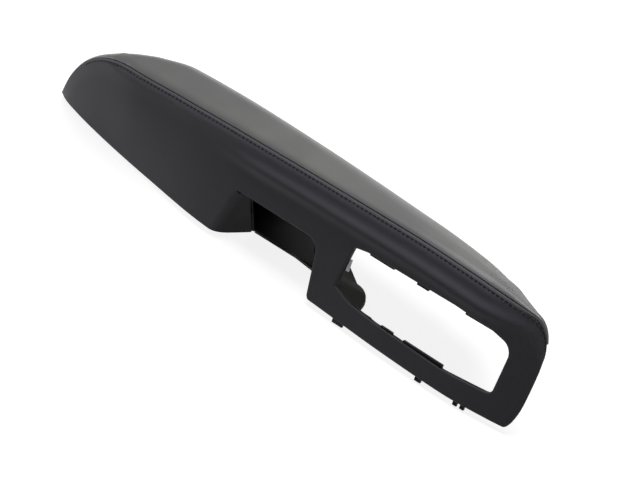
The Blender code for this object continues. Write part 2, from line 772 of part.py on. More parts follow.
def make_covers(places, leather_cut, gap_cut, collection, face_material, side_material):
    seam = slice(0, SEAM_ROW + 1)
    outer = layer_grid(0.0, no_extra, places, seam)
    inner = layer_grid(COVER, no_extra, places, seam)
    for skin, lining in zip(outer, inner):
        lift = Vector((0, 0, COVER_LIFT * (skin[1].z - skin[0].z)))
        skin[0] += lift
        lining[0] += lift
    face = add_object("face_cover", layer_solid(outer, inner), collection, face_material)
    combine(face, (leather_cut, gap_cut), "DIFFERENCE")
    rest = slice(SEAM_ROW + 1, None)
    inner_places = places[SIDE_START:SIDE_END]
    outer = layer_grid(0.0, no_extra, inner_places, rest)
    inner = layer_grid(COVER, no_extra, inner_places, rest)
    add_object("side_cover", layer_solid(outer, inner), collection, side_material)
    return face


def make_pad(places, collection, material):
    padded = [d for d in places if pad_part(d) > PAD_LEAST]
    rows = slice(SEAM_ROW + 3, SEAM_ROW + 9)
    outer = layer_grid(CARRIER_DEPTH, no_extra, padded, rows)
    inner = layer_grid(CARRIER_DEPTH, pad_extra, padded, rows)
    add_object("elbow_pad", layer_solid(outer, inner), collection, material)


def make_cup(collection, cutters, material):
    """Finger cup: a bent wall under the beam on a base flange with a rounded lug."""
    matrix = axes_matrix(Vector((0, 1, 0)), Vector((0, 0, 1)), Vector((1, 0, 0)), Vector((REAR, 0, 0)))
    middle_y = CUP_FRONT_Y + CUP_WALL / 2
    bend = beam_point(SCREW_PLACES[1], EAR_DEPTH, CUP_BEND_UP_FACE)
    tip = beam_point(SCREW_PLACES[1], EAR_DEPTH, CUP_EAR_TOP)
    turn_z = bend.z - (middle_y - bend.y) * CUP_BEND_SLOPE
    path = ((middle_y, 0), (middle_y, turn_z), (bend.y, bend.z), (tip.y, tip.z))
    wall_outline = sheet_outline(path, CUP_WALL)
    cup = plate("pull_cup", wall_outline, CUP_REAR, CUP_FRONT, matrix, collection, material)
    parts = [plate("cup_flange", flange_outline(), 0, CUP_FLANGE, Matrix(), cutters)]
    for i, distance in enumerate(CUP_RIBS):
        rib = ((CUP_FRONT_Y + CUP_WALL / 2, CUP_FLANGE / 2), (CUP_FLANGE_BACK - CUP_WALL, CUP_FLANGE / 2),
               (CUP_FRONT_Y + CUP_WALL / 2, CUP_RIB_HEIGHT))
        half = CUP_RIB_THICKNESS / 2
        parts.append(plate(f"cup_rib_{i + 1}", rib, distance - half, distance + half, matrix, cutters))
    combine(cup, parts, "UNION")
    holes = [beam_rod(f"ear_hole_{i + 1}", SCREW_HOLE, d, BOSS_TOP, HEAD_DEPTH + HEAD_HEIGHT, cutters)
             for i, d in enumerate(SCREW_PLACES)]
    combine(cup, holes, "DIFFERENCE")
    return cup


def flange_outline():
    """Base flange along the wall, drawn out into the rounded lug."""
    rear, wall_end, lug_end = REAR + CUP_REAR, REAR + CUP_FRONT, REAR + LUG_END
    lug_middle = lug_end - LUG_RADIUS
    outline = [
        (rear, CUP_FLANGE_BACK),
        (rear, CUP_FRONT_Y),
        (wall_end - LUG_RADIUS, CUP_FRONT_Y),
        (wall_end, CUP_FRONT_Y - CUP_WALL),
        (lug_middle, LUG_FOOT_Y),
    ]
    for step in range(CORNER_STEPS * 2 + 1):
        angle = math.pi / 2 * step / (CORNER_STEPS * 2)
        x, y = LUG_RADIUS * math.cos(angle), LUG_RADIUS * math.sin(angle)
        outline.append((lug_middle + x, LUG_FOOT_Y + y))
    outline.append((wall_end + LUG_RADIUS / 2, CUP_FLANGE_BACK))
    return outline


def make_bracket(collection, cutters, material):
    """Pressed strap with one turned edge, on the bosses behind the beam."""
    low, high = BRACKET_DEPTH, BRACKET_DEPTH + BRACKET_THICKNESS
    middle = (low + high) / 2
    lower = SCREW_UP_FACE - BRACKET_HALF_HEIGHT
    upper = SCREW_UP_FACE + BRACKET_HALF_HEIGHT
    path = ((lower, middle), (upper, middle), (upper + BRACKET_FLANGE / 3, middle - BRACKET_FLANGE))
    frame = face_frame(SCREW_PLACES[1])
    up, out = frame.col[1].to_3d(), frame.col[2].to_3d()
    origin = Vector((REAR, *frame.translation.yz))
    matrix = axes_matrix(up, -out, Vector((1, 0, 0)), origin)
    outline = sheet_outline(path, BRACKET_THICKNESS)
    bracket = plate("grip_bracket", outline, BRACKET_REAR, BRACKET_FRONT, matrix, collection, material)
    holes = [beam_rod(f"bracket_hole_{i + 1}", SCREW_HOLE, d, BOSS_TOP, HEAD_DEPTH, cutters)
             for i, d in enumerate(SCREW_PLACES)]
    combine(bracket, holes, "DIFFERENCE")
    return bracket


def turned(name, profile, matrix, collection, material):
    """Body of revolution about the matrix's Z axis, from a profile of (radius, height)."""
    count = len(profile)
    open_ended = profile[0][0] == 0
    edges = [(i, (i + 1) % count) for i in range(count - 1 if open_ended else count)]
    data = bpy.data.meshes.new(name)
    data.from_pydata([(r, 0, z) for r, z in profile], edges, [])
    data.materials.append(material)
    item = bpy.data.objects.new(name, data)
    collection.objects.link(item)
    turn = item.modifiers.new("turned", "SCREW")
    turn.steps = turn.render_steps = SCREW_SIDES
    turn.use_merge_vertices = True
    turn.merge_threshold = MERGE
    item.matrix_world = matrix
    return item


def make_screw(name, distance, collection, material):
    """Pan-head tapping screw."""
    head, shank = HEAD_DIAMETER / 2, SHANK_DIAMETER / 2
    profile = ((0, HEAD_HEIGHT), (head * HEAD_CROWN, HEAD_HEIGHT), (head, HEAD_HEIGHT * HEAD_EDGE),
               (head, 0), (shank, 0), (shank, -SHANK_LENGTH + shank), (0, -SHANK_LENGTH))
    frame = face_frame(SCREW_PLACES[1])
    along_x, up, out = [frame.col[i].to_3d() for i in range(3)]
    matrix = axes_matrix(-along_x, up, -out, beam_point(distance, HEAD_DEPTH))
    return turned(name, profile, matrix, collection, material)


def make_insert(name, place, collection, material):
    """Threaded insert in a tower, with a groove round its middle."""
    distance, y = place
    outer, inner = INSERT_DIAMETER / 2, INSERT_BORE / 2
    chamfer, top = INSERT_GROOVE, INSERT_LENGTH
    waist_low, waist_high = top / 2 - INSERT_GROOVE, top / 2 + INSERT_GROOVE
    profile = ((inner, 0), (inner, top), (outer - chamfer, top), (outer, top - chamfer),
               (outer, waist_high), (outer - chamfer, waist_high), (outer - chamfer, waist_low),
               (outer, waist_low), (outer, chamfer), (outer - chamfer, 0))
    matrix = Matrix.Translation((REAR + distance, y, INSERT_RECESS))
    return turned(name, profile, matrix, collection, material)


def make_switch_clip(name, distance, direction, collection, material):
    """Leaf spring behind an end of the switch opening, its tip kinked past the edge."""
    length = SWITCH_CLIP_LENGTH - SWITCH_CLIP_REACH
    edge = face_frame(distance) @ Vector((0, SWITCH_CLIP_UP_FACE, 0))
    root = face_frame(distance - direction * length) @ Vector((0, SWITCH_CLIP_UP_FACE, 0))
    forward = (edge - root).normalized()
    up = face_frame(distance).col[1].to_3d()
    out = (forward.cross(up) * direction).normalized()
    depth = INNER_DEPTH + SWITCH_CLIP_GAP + CLIP_SHEET / 2
    path = ((-length, -depth), (0, -depth), (SWITCH_CLIP_REACH, -depth - SWITCH_CLIP_KINK))
    matrix = axes_matrix(forward, out, forward.cross(out), edge)
    outline = sheet_outline(path, CLIP_SHEET)
    half = SWITCH_CLIP_WIDTH / 2
    return plate(name, outline, -half, half, matrix, collection, material)


def make_edge_clip(name, distance, collection, material):
    """Spring clip pushed onto a tongue of the hidden edge from below."""
    half = TONGUE_THICKNESS / 2 + GAP + CLIP_SHEET / 2
    bottom = -TONGUE_DROP - GAP - CLIP_SHEET / 2
    path = ((-half - CLIP_SHEET, -CLIP_LIP), (-half, -CLIP_LIP * 2), (-half, bottom), (half, bottom),
            (half, -CLIP_LIP * 2), (half + CLIP_SHEET, -CLIP_LIP))
    matrix = axes_matrix(Vector((0, 1, 0)), Vector((0, 0, 1)), Vector((1, 0, 0)), tongue_place(distance))
    outline = sheet_outline(path, CLIP_SHEET)
    return plate(name, outline, -CLIP_WIDTH / 2, CLIP_WIDTH / 2, matrix, collection, material)


def nearest(places, distance):
    return min(range(len(places)), key=lambda i: abs(places[i] - distance))


def make_felt(name, start, length, places, collection, material):
    """Strip that follows the carrier's own sections, so it lies flat on the wall."""
    first = nearest(places, start)
    last = max(nearest(places, start + length), first + 1)
    covered = places[first:last + 1]
    rows = slice(-2, None)
    depth = INNER_DEPTH + GAP
    outer = layer_grid(depth, carrier_extra, covered, rows)
    inner = layer_grid(depth + FELT_THICKNESS, carrier_extra, covered, rows)
    return add_object(name, layer_solid(outer, inner), collection, material)


def main():
    clear_scene()
    armrest = new_collection("door_armrest")
    cutters = new_collection("cutters")
    dark_leather = make_material("dark_leather", (0.036, 0.036, 0.041), 0.5)
    light_leather = make_material("light_leather", (0.080, 0.080, 0.078), 0.48)
    plastic = make_material("black_plastic", (0.016, 0.016, 0.017), 0.55)
    foam = make_material("grey_foam", (0.22, 0.22, 0.21), 0.9)
    steel = make_material("bracket_steel", (0.32, 0.32, 0.33), 0.4, 1.0)
    spring_steel = make_material("spring_steel", (0.45, 0.45, 0.46), 0.3, 1.0)
    brass = make_material("insert_brass", (0.55, 0.38, 0.14), 0.35, 1.0)
    felt = make_material("felt", (0.03, 0.03, 0.03), 0.95)
    places = stations()
    leather_cut, carrier_cut, gap_cut = opening_cutters(cutters)
    make_carrier(places, (carrier_cut, gap_cut), armrest, cutters, plastic)
    make_covers(places, leather_cut, gap_cut, armrest, dark_leather, light_leather)
    make_pad(places, armrest, foam)
    make_cup(armrest, cutters, plastic)
    make_bracket(armrest, cutters, steel)
    for i, distance in enumerate(SCREW_PLACES):
        make_screw(f"grip_screw_{i + 1}", distance, armrest, steel)
    for i, place in enumerate(TOWERS):
        make_insert(f"tower_insert_{i + 1}", place, armrest, brass)
    opening_front = LENGTH - OPENING_FRONT
    opening_rear = opening_front - OPENING_LENGTH
    make_switch_clip("switch_clip_rear", opening_rear, 1, armrest, spring_steel)
    make_switch_clip("switch_clip_front", opening_front, -1, armrest, spring_steel)
    for i, part in enumerate(TONGUE_PARTS):
        make_edge_clip(f"edge_clip_{i + 1}", LENGTH * part, armrest, spring_steel)
    for i, (part, length) in enumerate(FELT_PARTS):
        make_felt(f"felt_strip_{i + 1}", LENGTH * part, length, places, armrest, felt)
    for item in (*armrest.objects, *cutters.objects):
        item.matrix_world = Matrix.Translation((0, -MIDDLE_Y, 0)) @ item.matrix_world


main()
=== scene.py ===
# %% [markdown]
# A car door's armrest, dressed for its portrait. Under the leather sits a moulded shell, which
# the CAD model already holds with its finger cup, screws and clips. What is left for Blender is
# everything a hand feels: two leather covers, the seam between them, thread, foam and finishes.
# First the fixed frame is loaded.

# %% Load the fixed frame
import math

import bmesh
import bpy
import numpy as np
from mathutils import Matrix, Vector


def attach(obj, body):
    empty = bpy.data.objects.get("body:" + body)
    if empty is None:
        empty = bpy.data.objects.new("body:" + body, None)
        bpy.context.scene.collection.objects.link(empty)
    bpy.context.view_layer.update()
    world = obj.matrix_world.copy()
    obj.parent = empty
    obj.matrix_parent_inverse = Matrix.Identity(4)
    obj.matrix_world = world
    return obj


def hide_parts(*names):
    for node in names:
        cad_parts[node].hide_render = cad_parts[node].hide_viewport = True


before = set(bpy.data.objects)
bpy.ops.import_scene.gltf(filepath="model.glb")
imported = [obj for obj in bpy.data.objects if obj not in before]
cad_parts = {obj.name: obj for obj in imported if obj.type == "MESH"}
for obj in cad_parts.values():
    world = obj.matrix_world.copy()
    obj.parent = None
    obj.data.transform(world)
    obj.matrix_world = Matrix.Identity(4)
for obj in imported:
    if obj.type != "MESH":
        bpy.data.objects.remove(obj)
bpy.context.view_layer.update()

# %% [markdown]
# The photograph looks down at 42 degrees from the front corner, through a long lens. A long
# lens keeps the far end of a long object from shrinking, so the lens is set before any shape
# is judged. The camera is placed by a target, a direction and a distance, which are easier to
# correct than three rotation angles.

# %% Camera
VIEW_AZIMUTH = math.radians(42.5)
VIEW_ELEVATION = math.radians(42.0)
VIEW_DISTANCE = 1.74
VIEW_TARGET = Vector((0.028, 0.01585, 0.0055))
LENS = 112.5


def add_camera():
    data = bpy.data.cameras.new("portrait_camera")
    data.lens = LENS
    camera = bpy.data.objects.new("portrait_camera", data)
    bpy.context.scene.collection.objects.link(camera)
    flat = math.cos(VIEW_ELEVATION)
    back = Vector((math.sin(VIEW_AZIMUTH) * flat, -math.cos(VIEW_AZIMUTH) * flat, math.sin(VIEW_ELEVATION)))
    camera.location = VIEW_TARGET + back * VIEW_DISTANCE
    camera.rotation_euler = (-back).to_track_quat("-Z", "Y").to_euler()
    bpy.context.scene.camera = camera
    return camera


camera = add_camera()
print("camera at", [round(c, 3) for c in camera.location])

# %% [markdown]
# Shader maths reads best as plain sums. The class below wraps one socket of a material's node
# tree, so that writing mask * 0.5 + 1 adds the Math nodes for it. Everything that isn't
# arithmetic goes through one method, node, which takes a type, its settings and its inputs.

# %% A value in a node tree
class Value:
    def __init__(self, finish, socket):
        self.finish, self.socket = finish, socket

    def math(self, operation, *others):
        return self.finish.node("ShaderNodeMath", {"operation": operation}, (self, *others))

    def __add__(self, other):
        return self.math("ADD", other)

    __radd__ = __add__

    def __mul__(self, other):
        return self.math("MULTIPLY", other)

    __rmul__ = __mul__

    def __sub__(self, other):
        return self.math("SUBTRACT", other)

    def __rsub__(self, other):
        return self.finish.node("ShaderNodeMath", {"operation": "SUBTRACT"}, (other, self))

    def __truediv__(self, other):
        return self.math("DIVIDE", other)

    def between(self, low, high):
        """0 below low, 1 above high and a soft step from one to the other."""
        settings = {"interpolation_type": "SMOOTHSTEP"}
        return self.finish.node("ShaderNodeMapRange", settings, (self, low, high, 0.0, 1.0))


# %% A finish
class Finish:
    """A material with its Principled shader, and the nodes that feed it."""

    def __init__(self, name, color, roughness, metallic=0.0, **sockets):
        self.material = bpy.data.materials.new(name)
        self.material.use_nodes = True
        self.tree = self.material.node_tree
        self.shader = self.tree.nodes["Principled BSDF"]
        self.color = srgb(color)
        self.feed("Base Color", self.color)
        self.feed("Roughness", roughness)
        self.feed("Metallic", metallic)
        for socket, value in sockets.items():
            self.feed(socket.replace("_", " "), value)
        self.material.diffuse_color = self.color

    def plug(self, socket, value):
        if isinstance(value, Value):
            self.tree.links.new(value.socket, socket)
        elif value is not None:
            socket.default_value = value

    def feed(self, name, value):
        self.plug(self.shader.inputs[name], value)

    def node(self, kind, settings=None, inputs=(), output=0):
        made = self.tree.nodes.new(kind)
        for name, value in (settings or {}).items():
            setattr(made, name, value)
        pairs = inputs.items() if isinstance(inputs, dict) else enumerate(inputs)
        for key, value in pairs:
            self.plug(made.inputs[key], value)
        return Value(self, made.outputs[output])

    def place(self):
        return self.node("ShaderNodeTexCoord", output="Object")

    def noise(self, scale, detail=2.0, where=None):
        inputs = {"Vector": where or self.place(), "Scale": scale, "Detail": detail}
        return self.node("ShaderNodeTexNoise", {}, inputs, output=0)

    def cells(self, scale, feature="F1", where=None):
        inputs = {"Vector": where or self.place(), "Scale": scale}
        return self.node("ShaderNodeTexVoronoi", {"feature": feature}, inputs, output=0)

    def mixed(self, factor, first, second):
        """A colour between two colours."""
        settings = {"data_type": "RGBA"}
        return self.node("ShaderNodeMix", settings, {0: factor, 6: first, 7: second}, output=2)

    def bump(self, height, distance, strength=1.0):
        inputs = {"Strength": strength, "Distance": distance, "Height": height}
        self.feed("Normal", self.node("ShaderNodeBump", {}, inputs))


def srgb(text):
    """A colour as Blender wants it, from the hex colour seen on screen."""
    parts = [int(text[i:i + 2], 16) / 255 for i in (0, 2, 4)]
    linear = [c / 12.92 if c <= 0.04045 else ((c + 0.055) / 1.055) ** 2.4 for c in parts]
    return (*linear, 1.0)


print("mid grey in linear light:", round(srgb("808080")[0], 3))

# %% [markdown]
# The armrest lies on a white table. Only the camera is shown the floor's extra glow, so the
# picture gets its white ground while the object is lit as if the floor were plain pale card,
# and its shadow stays. One large soft lamp stands behind on the right, as the photograph's
# shadows on the near side say, and the world fills the rest.

# %% Floor, lamps and world
FLOOR_COLOR = "9e9e9c"
FLOOR_GLOW = 0.86
WORLD_LIGHT = 0.01


def add_floor():
    mesh = bmesh.new()
    bmesh.ops.create_grid(mesh, x_segments=1, y_segments=1, size=6)
    data = bpy.data.meshes.new("table_top")
    mesh.to_mesh(data)
    mesh.free()
    floor = bpy.data.objects.new("table_top", data)
    bpy.context.scene.collection.objects.link(floor)
    card = Finish("pale_card", FLOOR_COLOR, 0.9)
    rays = card.tree.nodes.new("ShaderNodeLightPath")
    seen = [Value(card, rays.outputs[name]) for name in ("Is Camera Ray", "Is Glossy Ray", "Is Transmission Ray")]
    seen = seen[0].math("MAXIMUM", seen[1]).math("MAXIMUM", seen[2]) * FLOOR_GLOW
    card.feed("Emission Color", (1, 1, 1, 1))
    card.feed("Emission Strength", seen)
    data.materials.append(card.material)
    return floor


def add_lamp(name, place, aim, power, size, color=(1, 1, 1)):
    data = bpy.data.lights.new(name, "AREA")
    data.energy, data.size, data.color = power, size, color
    lamp = bpy.data.objects.new(name, data)
    lamp.location = place
    lamp.rotation_euler = (Vector(aim) - Vector(place)).to_track_quat("-Z", "Y").to_euler()
    bpy.context.scene.collection.objects.link(lamp)


def add_world():
    world = bpy.data.worlds.new("studio")
    world.use_nodes = True
    light = world.node_tree.nodes["Background"]
    light.inputs["Color"].default_value = (1, 1, 1, 1)
    light.inputs["Strength"].default_value = WORLD_LIGHT
    bpy.context.scene.world = world


add_floor()
add_world()
add_lamp("overhead", (0.05, 0.5, 1.5), (0, 0, 0.05), 19.5, 0.8)
add_lamp("window", (-0.3, 1.5, 0.6), (0, 0, 0.05), 4, 0.7)
add_lamp("left_fill", (-0.95, -0.2, 0.3), (0, 0, 0.05), 1.6, 0.4)
bpy.context.scene.view_settings.view_transform = "Standard"

# %% [markdown]
# The skin of the armrest is one surface, drawn by four lines that run its whole length: the
# foot of the dark face, the crest where the seam lies, the shoulder and the heel at the back.
# The CAD model lofts the same lines with few facets, for physics. Here they are sampled more
# than ten times finer. First come the lines themselves, as (distance from the rear tip, value),
# and a curve that passes through such points without overshooting.

# %% Lines of the form
LENGTH = 0.592
REAR = -LENGTH / 2
MIDDLE_Y = 0.00265
FOOT_LINE = ((0.0, 0.0090), (0.018, 0.0030), (0.074, -0.0100), (0.156, -0.0250), (0.230, -0.0360),
             (0.368, -0.0445), (0.465, -0.0505), (0.520, -0.0520), (0.565, -0.0490), (0.592, -0.0455))
CREST_LINE = ((0.0, 0.0090), (0.030, 0.0045), (0.085, -0.0015), (0.125, -0.0040), (0.180, -0.0030),
              (0.330, -0.0025), (0.430, -0.0030), (0.500, -0.0045), (0.560, -0.0060), (0.592, -0.0065))
STRIP_WIDTH = ((0.0, 0.006), (0.040, 0.006), (0.065, 0.0075), (0.080, 0.0115), (0.100, 0.0270),
               (0.120, 0.0400), (0.150, 0.0495), (0.200, 0.0490), (0.284, 0.0450), (0.400, 0.0367),
               (0.500, 0.0270), (0.540, 0.0175), (0.562, 0.0085), (0.576, 0.0040), (0.592, 0.0040))
CREST_DROP = ((0.0, 0.0), (0.12, 0.0010), (0.25, 0.0), (0.45, 0.0006), (0.592, 0.0072))


def smooth(t):
    t = min(max(t, 0.0), 1.0)
    return t * t * (3 - 2 * t)


def along(line, distance):
    """Value of a line at a distance, by a cubic that never overshoots its points."""
    xs, ys = zip(*line)
    steps = [(ys[i + 1] - ys[i]) / (xs[i + 1] - xs[i]) for i in range(len(xs) - 1)]
    slopes = [steps[0]]
    for before, after in zip(steps, steps[1:]):
        slopes.append(0.0 if before * after <= 0 else 2 * before * after / (before + after))
    slopes.append(steps[-1])
    distance = min(max(distance, xs[0]), xs[-1])
    i = min(max(sum(distance >= x for x in xs) - 1, 0), len(xs) - 2)
    span = xs[i + 1] - xs[i]
    t = (distance - xs[i]) / span
    rise = t * t * (3 - 2 * t)
    turn = slopes[i] * t * (1 - t) ** 2 + slopes[i + 1] * t * t * (t - 1)
    return ys[i] + (ys[i + 1] - ys[i]) * rise + span * turn


print("strip half way along, mm:", round(along(STRIP_WIDTH, LENGTH / 2) * 1000, 1))

# %% [markdown]
# A cross-section is a foot, a crest, a shoulder and a heel, with the crest and the shoulder
# rounded. Towards the nose and the switch end the four corners draw together, along curves
# like those of a pebble, so that both ends close without a seam. Each section is kept as two
# functions, one for the dark face and one for the light strip, so any number of rows can be
# read from it.

# %% One cross-section
CREST_HEIGHT = 0.1005
FOOT_LIFT = 0.0055
FIN_LENGTH = 0.260
NOSE_LENGTH = 0.118
NOSE_PLAN_LENGTH = 0.060
NOSE_TIP_HEIGHT = 0.0065
NOSE_TIP_ROUND = 0.012
END_TOP_ROUND = 0.020
END_FOOT_ROUND = 0.0135
END_MIDDLE = 0.067
CREST_RADIUS = 0.013
SHOULDER_RADIUS = 0.026
STRIP_SLOPE = 0.22
BACK_RUN = 0.011
BACK_DROP = 0.041
SEAM_PLACE = 0.55


def closing(distance, length, power=2.5):
    t = min(max(distance / length, 0.0), 1.0)
    return (1 - (1 - t) ** power) ** (1 / power)


def unit(vector):
    return vector / max(np.linalg.norm(vector), 1e-9)


def fillet(before, corner, after, radius):
    """Rounded corner, as a function that gives the arc's point for a part from 0 to 1."""
    back, ahead = before - corner, after - corner
    room = 0.45 * min(np.linalg.norm(back), np.linalg.norm(ahead))
    back, ahead = unit(back), unit(ahead)
    turn = math.pi - math.acos(max(min(float(back @ ahead), 1.0), -1.0))
    reach = min(radius * math.tan(turn / 2), room)
    start, end = corner + back * reach, corner + ahead * reach
    centre = corner + unit(back + ahead) * reach / max(math.sin(turn / 2), 1e-9)

    def arc(part):
        if reach < 1e-9:
            return start
        sides = math.sin(turn * (1 - part)) * (start - centre) + math.sin(turn * part) * (end - centre)
        return centre + sides / math.sin(turn)

    return arc


def corners_at(distance):
    foot_y, crest_y = along(FOOT_LINE, distance), along(CREST_LINE, distance)
    strip = along(STRIP_WIDTH, distance)
    back = smooth((strip - 0.014) / 0.014) * 0.95 + 0.05
    tip_rise = NOSE_TIP_HEIGHT * (1 - closing(distance, NOSE_TIP_ROUND))
    foot = np.array((foot_y, FOOT_LIFT * smooth(distance / FIN_LENGTH) + tip_rise))
    crest = np.array((crest_y, CREST_HEIGHT - along(CREST_DROP, distance)))
    shoulder = crest + strip * np.array((1, -STRIP_SLOPE))
    heel = shoulder + back * np.array((BACK_RUN, -BACK_DROP))
    rise = (1 - (1 - min(distance / NOSE_LENGTH, 1.0)) ** 2) ** 0.88
    spread = closing(distance, NOSE_PLAN_LENGTH, 2)
    middle = foot + (crest - foot) * (END_MIDDLE - foot[1]) / (crest[1] - foot[1])
    full = np.linalg.norm(crest - foot)
    crest, shoulder, heel = [foot + (p - foot) * np.array((spread, rise)) for p in (crest, shoulder, heel)]
    top = closing(LENGTH - distance, END_TOP_ROUND, 2)
    below = closing(LENGTH - distance, END_FOOT_ROUND, 1.8)
    ends = [middle + (p - middle) * top for p in (crest, shoulder, heel)]
    return middle + (foot - middle) * below, *ends, full


print("section half way, mm:", [[round(c * 1000) for c in p] for p in corners_at(LENGTH / 2)[:4]])

# %% [markdown]
# Two soft touches lie on the plain face. A bead runs under the seam, where the foam bulges
# below the stitches, and the leather rolls in at the rear of the pull gap, so that fingers meet
# no edge. The bead is built into the sections. The roll is a move of finished points, back
# towards the finger cup: it begins early at the foot and late under the grab beam, turns
# quickly and then runs straight in, until it stands in front of the cup.

# %% Bead and roll
RIDGE_BELOW_BEND = 0.0125
RIDGE_HEIGHT = 0.0029
RIDGE_HALF_WIDTH = 0.0065
RIDGE_START = 0.215
RIDGE_FADE = 0.080
VALLEY_BELOW_BEND = 0.0045
VALLEY_DEPTH = 0.0008
GAP_REAR = 0.274
TUCK_Y = -0.0142
TUCK_LENGTH = 0.036
TUCK_UNDER_BEAM = 0.013
TUCK_RETURN = 0.021
BEAM_EDGE = 0.0525
TURN_PART = 0.55


def bead(distance, below):
    crown = math.exp(-((below - RIDGE_BELOW_BEND) / RIDGE_HALF_WIDTH) ** 2)
    valley = math.exp(-((below - VALLEY_BELOW_BEND) / RIDGE_HALF_WIDTH) ** 2)
    fade = smooth((distance - RIDGE_START) / RIDGE_FADE) * smooth((LENGTH - distance) / RIDGE_FADE)
    return (RIDGE_HEIGHT * crown - VALLEY_DEPTH * valley) * fade


def tuck(distance, y, z, edge=0.0015):
    """How far a point of the face, given before the roll, moves in."""
    length = TUCK_LENGTH + (TUCK_UNDER_BEAM - TUCK_LENGTH) * min(max(z / BEAM_EDGE, 0.0), 1.0)
    t = min(max((distance - GAP_REAR + length) / length, 0.0), 1.0)
    turned = t * t / (2 * TURN_PART) if t < TURN_PART else t - TURN_PART / 2
    turned /= 1 - TURN_PART / 2
    beyond = 1 - smooth((distance - GAP_REAR) / TUCK_RETURN)
    return max(TUCK_Y - y, 0.0) * turned * beyond * smooth((BEAM_EDGE - z) / edge)


def run_lengths(path):
    return np.cumsum([0] + [np.linalg.norm(b - a) for a, b in zip(path, path[1:])])


print("bead on the face half way, mm:", round(bead(LENGTH / 2, RIDGE_BELOW_BEND) * 1000, 2))

# %% [markdown]
# The dark cover is sewn to the light one along the seam, and a second row of stitches, a few
# millimetres below, holds the seam's hem flat. That row pulls the leather into a fine groove.
# The groove is real geometry, because it catches the light along the whole armrest, so the rows
# of the dark cover lie close together near the seam and further apart below.

# %% Rows of the dark cover
STITCH_BELOW_SEAM = 0.0034
GROOVE_DEPTH = 0.00005
GROOVE_HALF_WIDTH = 0.0011
HEM_RISE = 0.00004
NEAR_SEAM = [0.0005 * step for step in range(20)]
SEAM_ZONE = 0.010
FACE_ROW = 0.0016
FULL_FACE = 0.104


def groove(below_seam):
    pulled = math.exp(-((below_seam - STITCH_BELOW_SEAM) / GROOVE_HALF_WIDTH) ** 2)
    hem = math.exp(-((below_seam - STITCH_BELOW_SEAM / 2) / GROOVE_HALF_WIDTH) ** 2)
    return HEM_RISE * hem - GROOVE_DEPTH * pulled


FACE_ROWS = NEAR_SEAM + list(np.arange(SEAM_ZONE, FULL_FACE, FACE_ROW)) + [FULL_FACE]
FACE_ROWS = np.array(FACE_ROWS[::-1])


def face_path(distance):
    """The dark face in section, as a function of the distance below the seam."""
    foot, crest, shoulder, heel, full = corners_at(distance)
    arc = fillet(foot, crest, shoulder, CREST_RADIUS)
    bend = arc(0)
    height = np.linalg.norm(bend - foot)
    up = unit(bend - foot)
    out = np.array((-up[1], up[0]))
    over = [arc(SEAM_PLACE * part / 12) for part in range(13)]
    lengths = run_lengths(over)
    rolled = lengths[-1]
    scale = max(min(height / full, 1.0), 1e-6)

    def place(below_seam):
        if below_seam > rolled:
            spot = bend - up * (below_seam - rolled)
            normal, raised = out, bead(distance, (below_seam - rolled) / scale)
        else:
            part = np.interp(rolled - below_seam, lengths, np.linspace(0, SEAM_PLACE, 13))
            spot, ahead = arc(part), arc(part + 0.02)
            normal = np.array((spot[1] - ahead[1], ahead[0] - spot[0])) * -1
            normal = unit(-normal) if normal @ out < 0 else unit(normal)
            raised = bead(distance, below_seam - rolled) * below_seam / max(rolled, 1e-9)
        spot = spot + normal * (raised + groove(below_seam) * smooth(scale * 4))
        return np.array((REAR + distance, spot[0] - MIDDLE_Y, spot[1]))

    return place, height + rolled


def face_section(distance, rim):
    """Points of the dark face from just above the foot to just below the seam."""
    place, total = face_path(distance)
    margin = min(rim, total / 4)
    room = total - 2 * margin
    zone = SEAM_ZONE * min(room / 0.040, 1.0)
    belows = []
    for row in FACE_ROWS:
        near = row * zone / SEAM_ZONE
        far = zone + (row - SEAM_ZONE) * (room - zone) / (FULL_FACE - SEAM_ZONE)
        belows.append(margin + (near if row <= SEAM_ZONE else far))
    return np.array([place(below) for below in belows]), np.array(belows)


STRIP_CROWN = 0.0034
STRIP_WIDEST = 0.0495


def strip_section(distance, rows, rim):
    """Points of the light strip from just past the seam, over the shoulder, to the heel."""
    foot, crest, shoulder, heel, full = corners_at(distance)
    arc = fillet(foot, crest, shoulder, CREST_RADIUS)
    round_off = fillet(crest, shoulder, heel, SHOULDER_RADIUS)
    path = [arc(SEAM_PLACE + (1 - SEAM_PLACE) * part / 8) for part in range(9)]
    path += [round_off(part / 16) for part in range(17)] + [heel]
    lengths = run_lengths(path)
    margin = min(rim, lengths[-1] / 4)
    past = np.linspace(margin, lengths[-1] - margin, rows)
    line = np.stack([np.interp(past, lengths, [q[axis] for q in path]) for axis in (0, 1)], axis=1)
    ahead = np.gradient(line, axis=0)
    outwards = np.stack((-ahead[:, 1], ahead[:, 0]), axis=1)
    outwards /= np.maximum(np.linalg.norm(outwards, axis=1), 1e-9)[:, None]
    crown = STRIP_CROWN * along(STRIP_WIDTH, distance) / STRIP_WIDEST
    line += outwards * (crown * np.sin(math.pi * (past / lengths[-1]) ** 0.8))[:, None]
    return np.array([(REAR + distance, y - MIDDLE_Y, z) for y, z in line]), past


print("rows on the dark cover:", len(FACE_ROWS))

# %% [markdown]
# Both covers are drawn as grids. Along the length the sections stand evenly, but at the two
# ends they follow the rounding, or the ends would turn faceted. The openings are outlines laid
# on the plane of the switch frame, rounded at their corners. They are widened by the radius of
# the leather's turned edge, since the edge itself then rolls back over that distance.

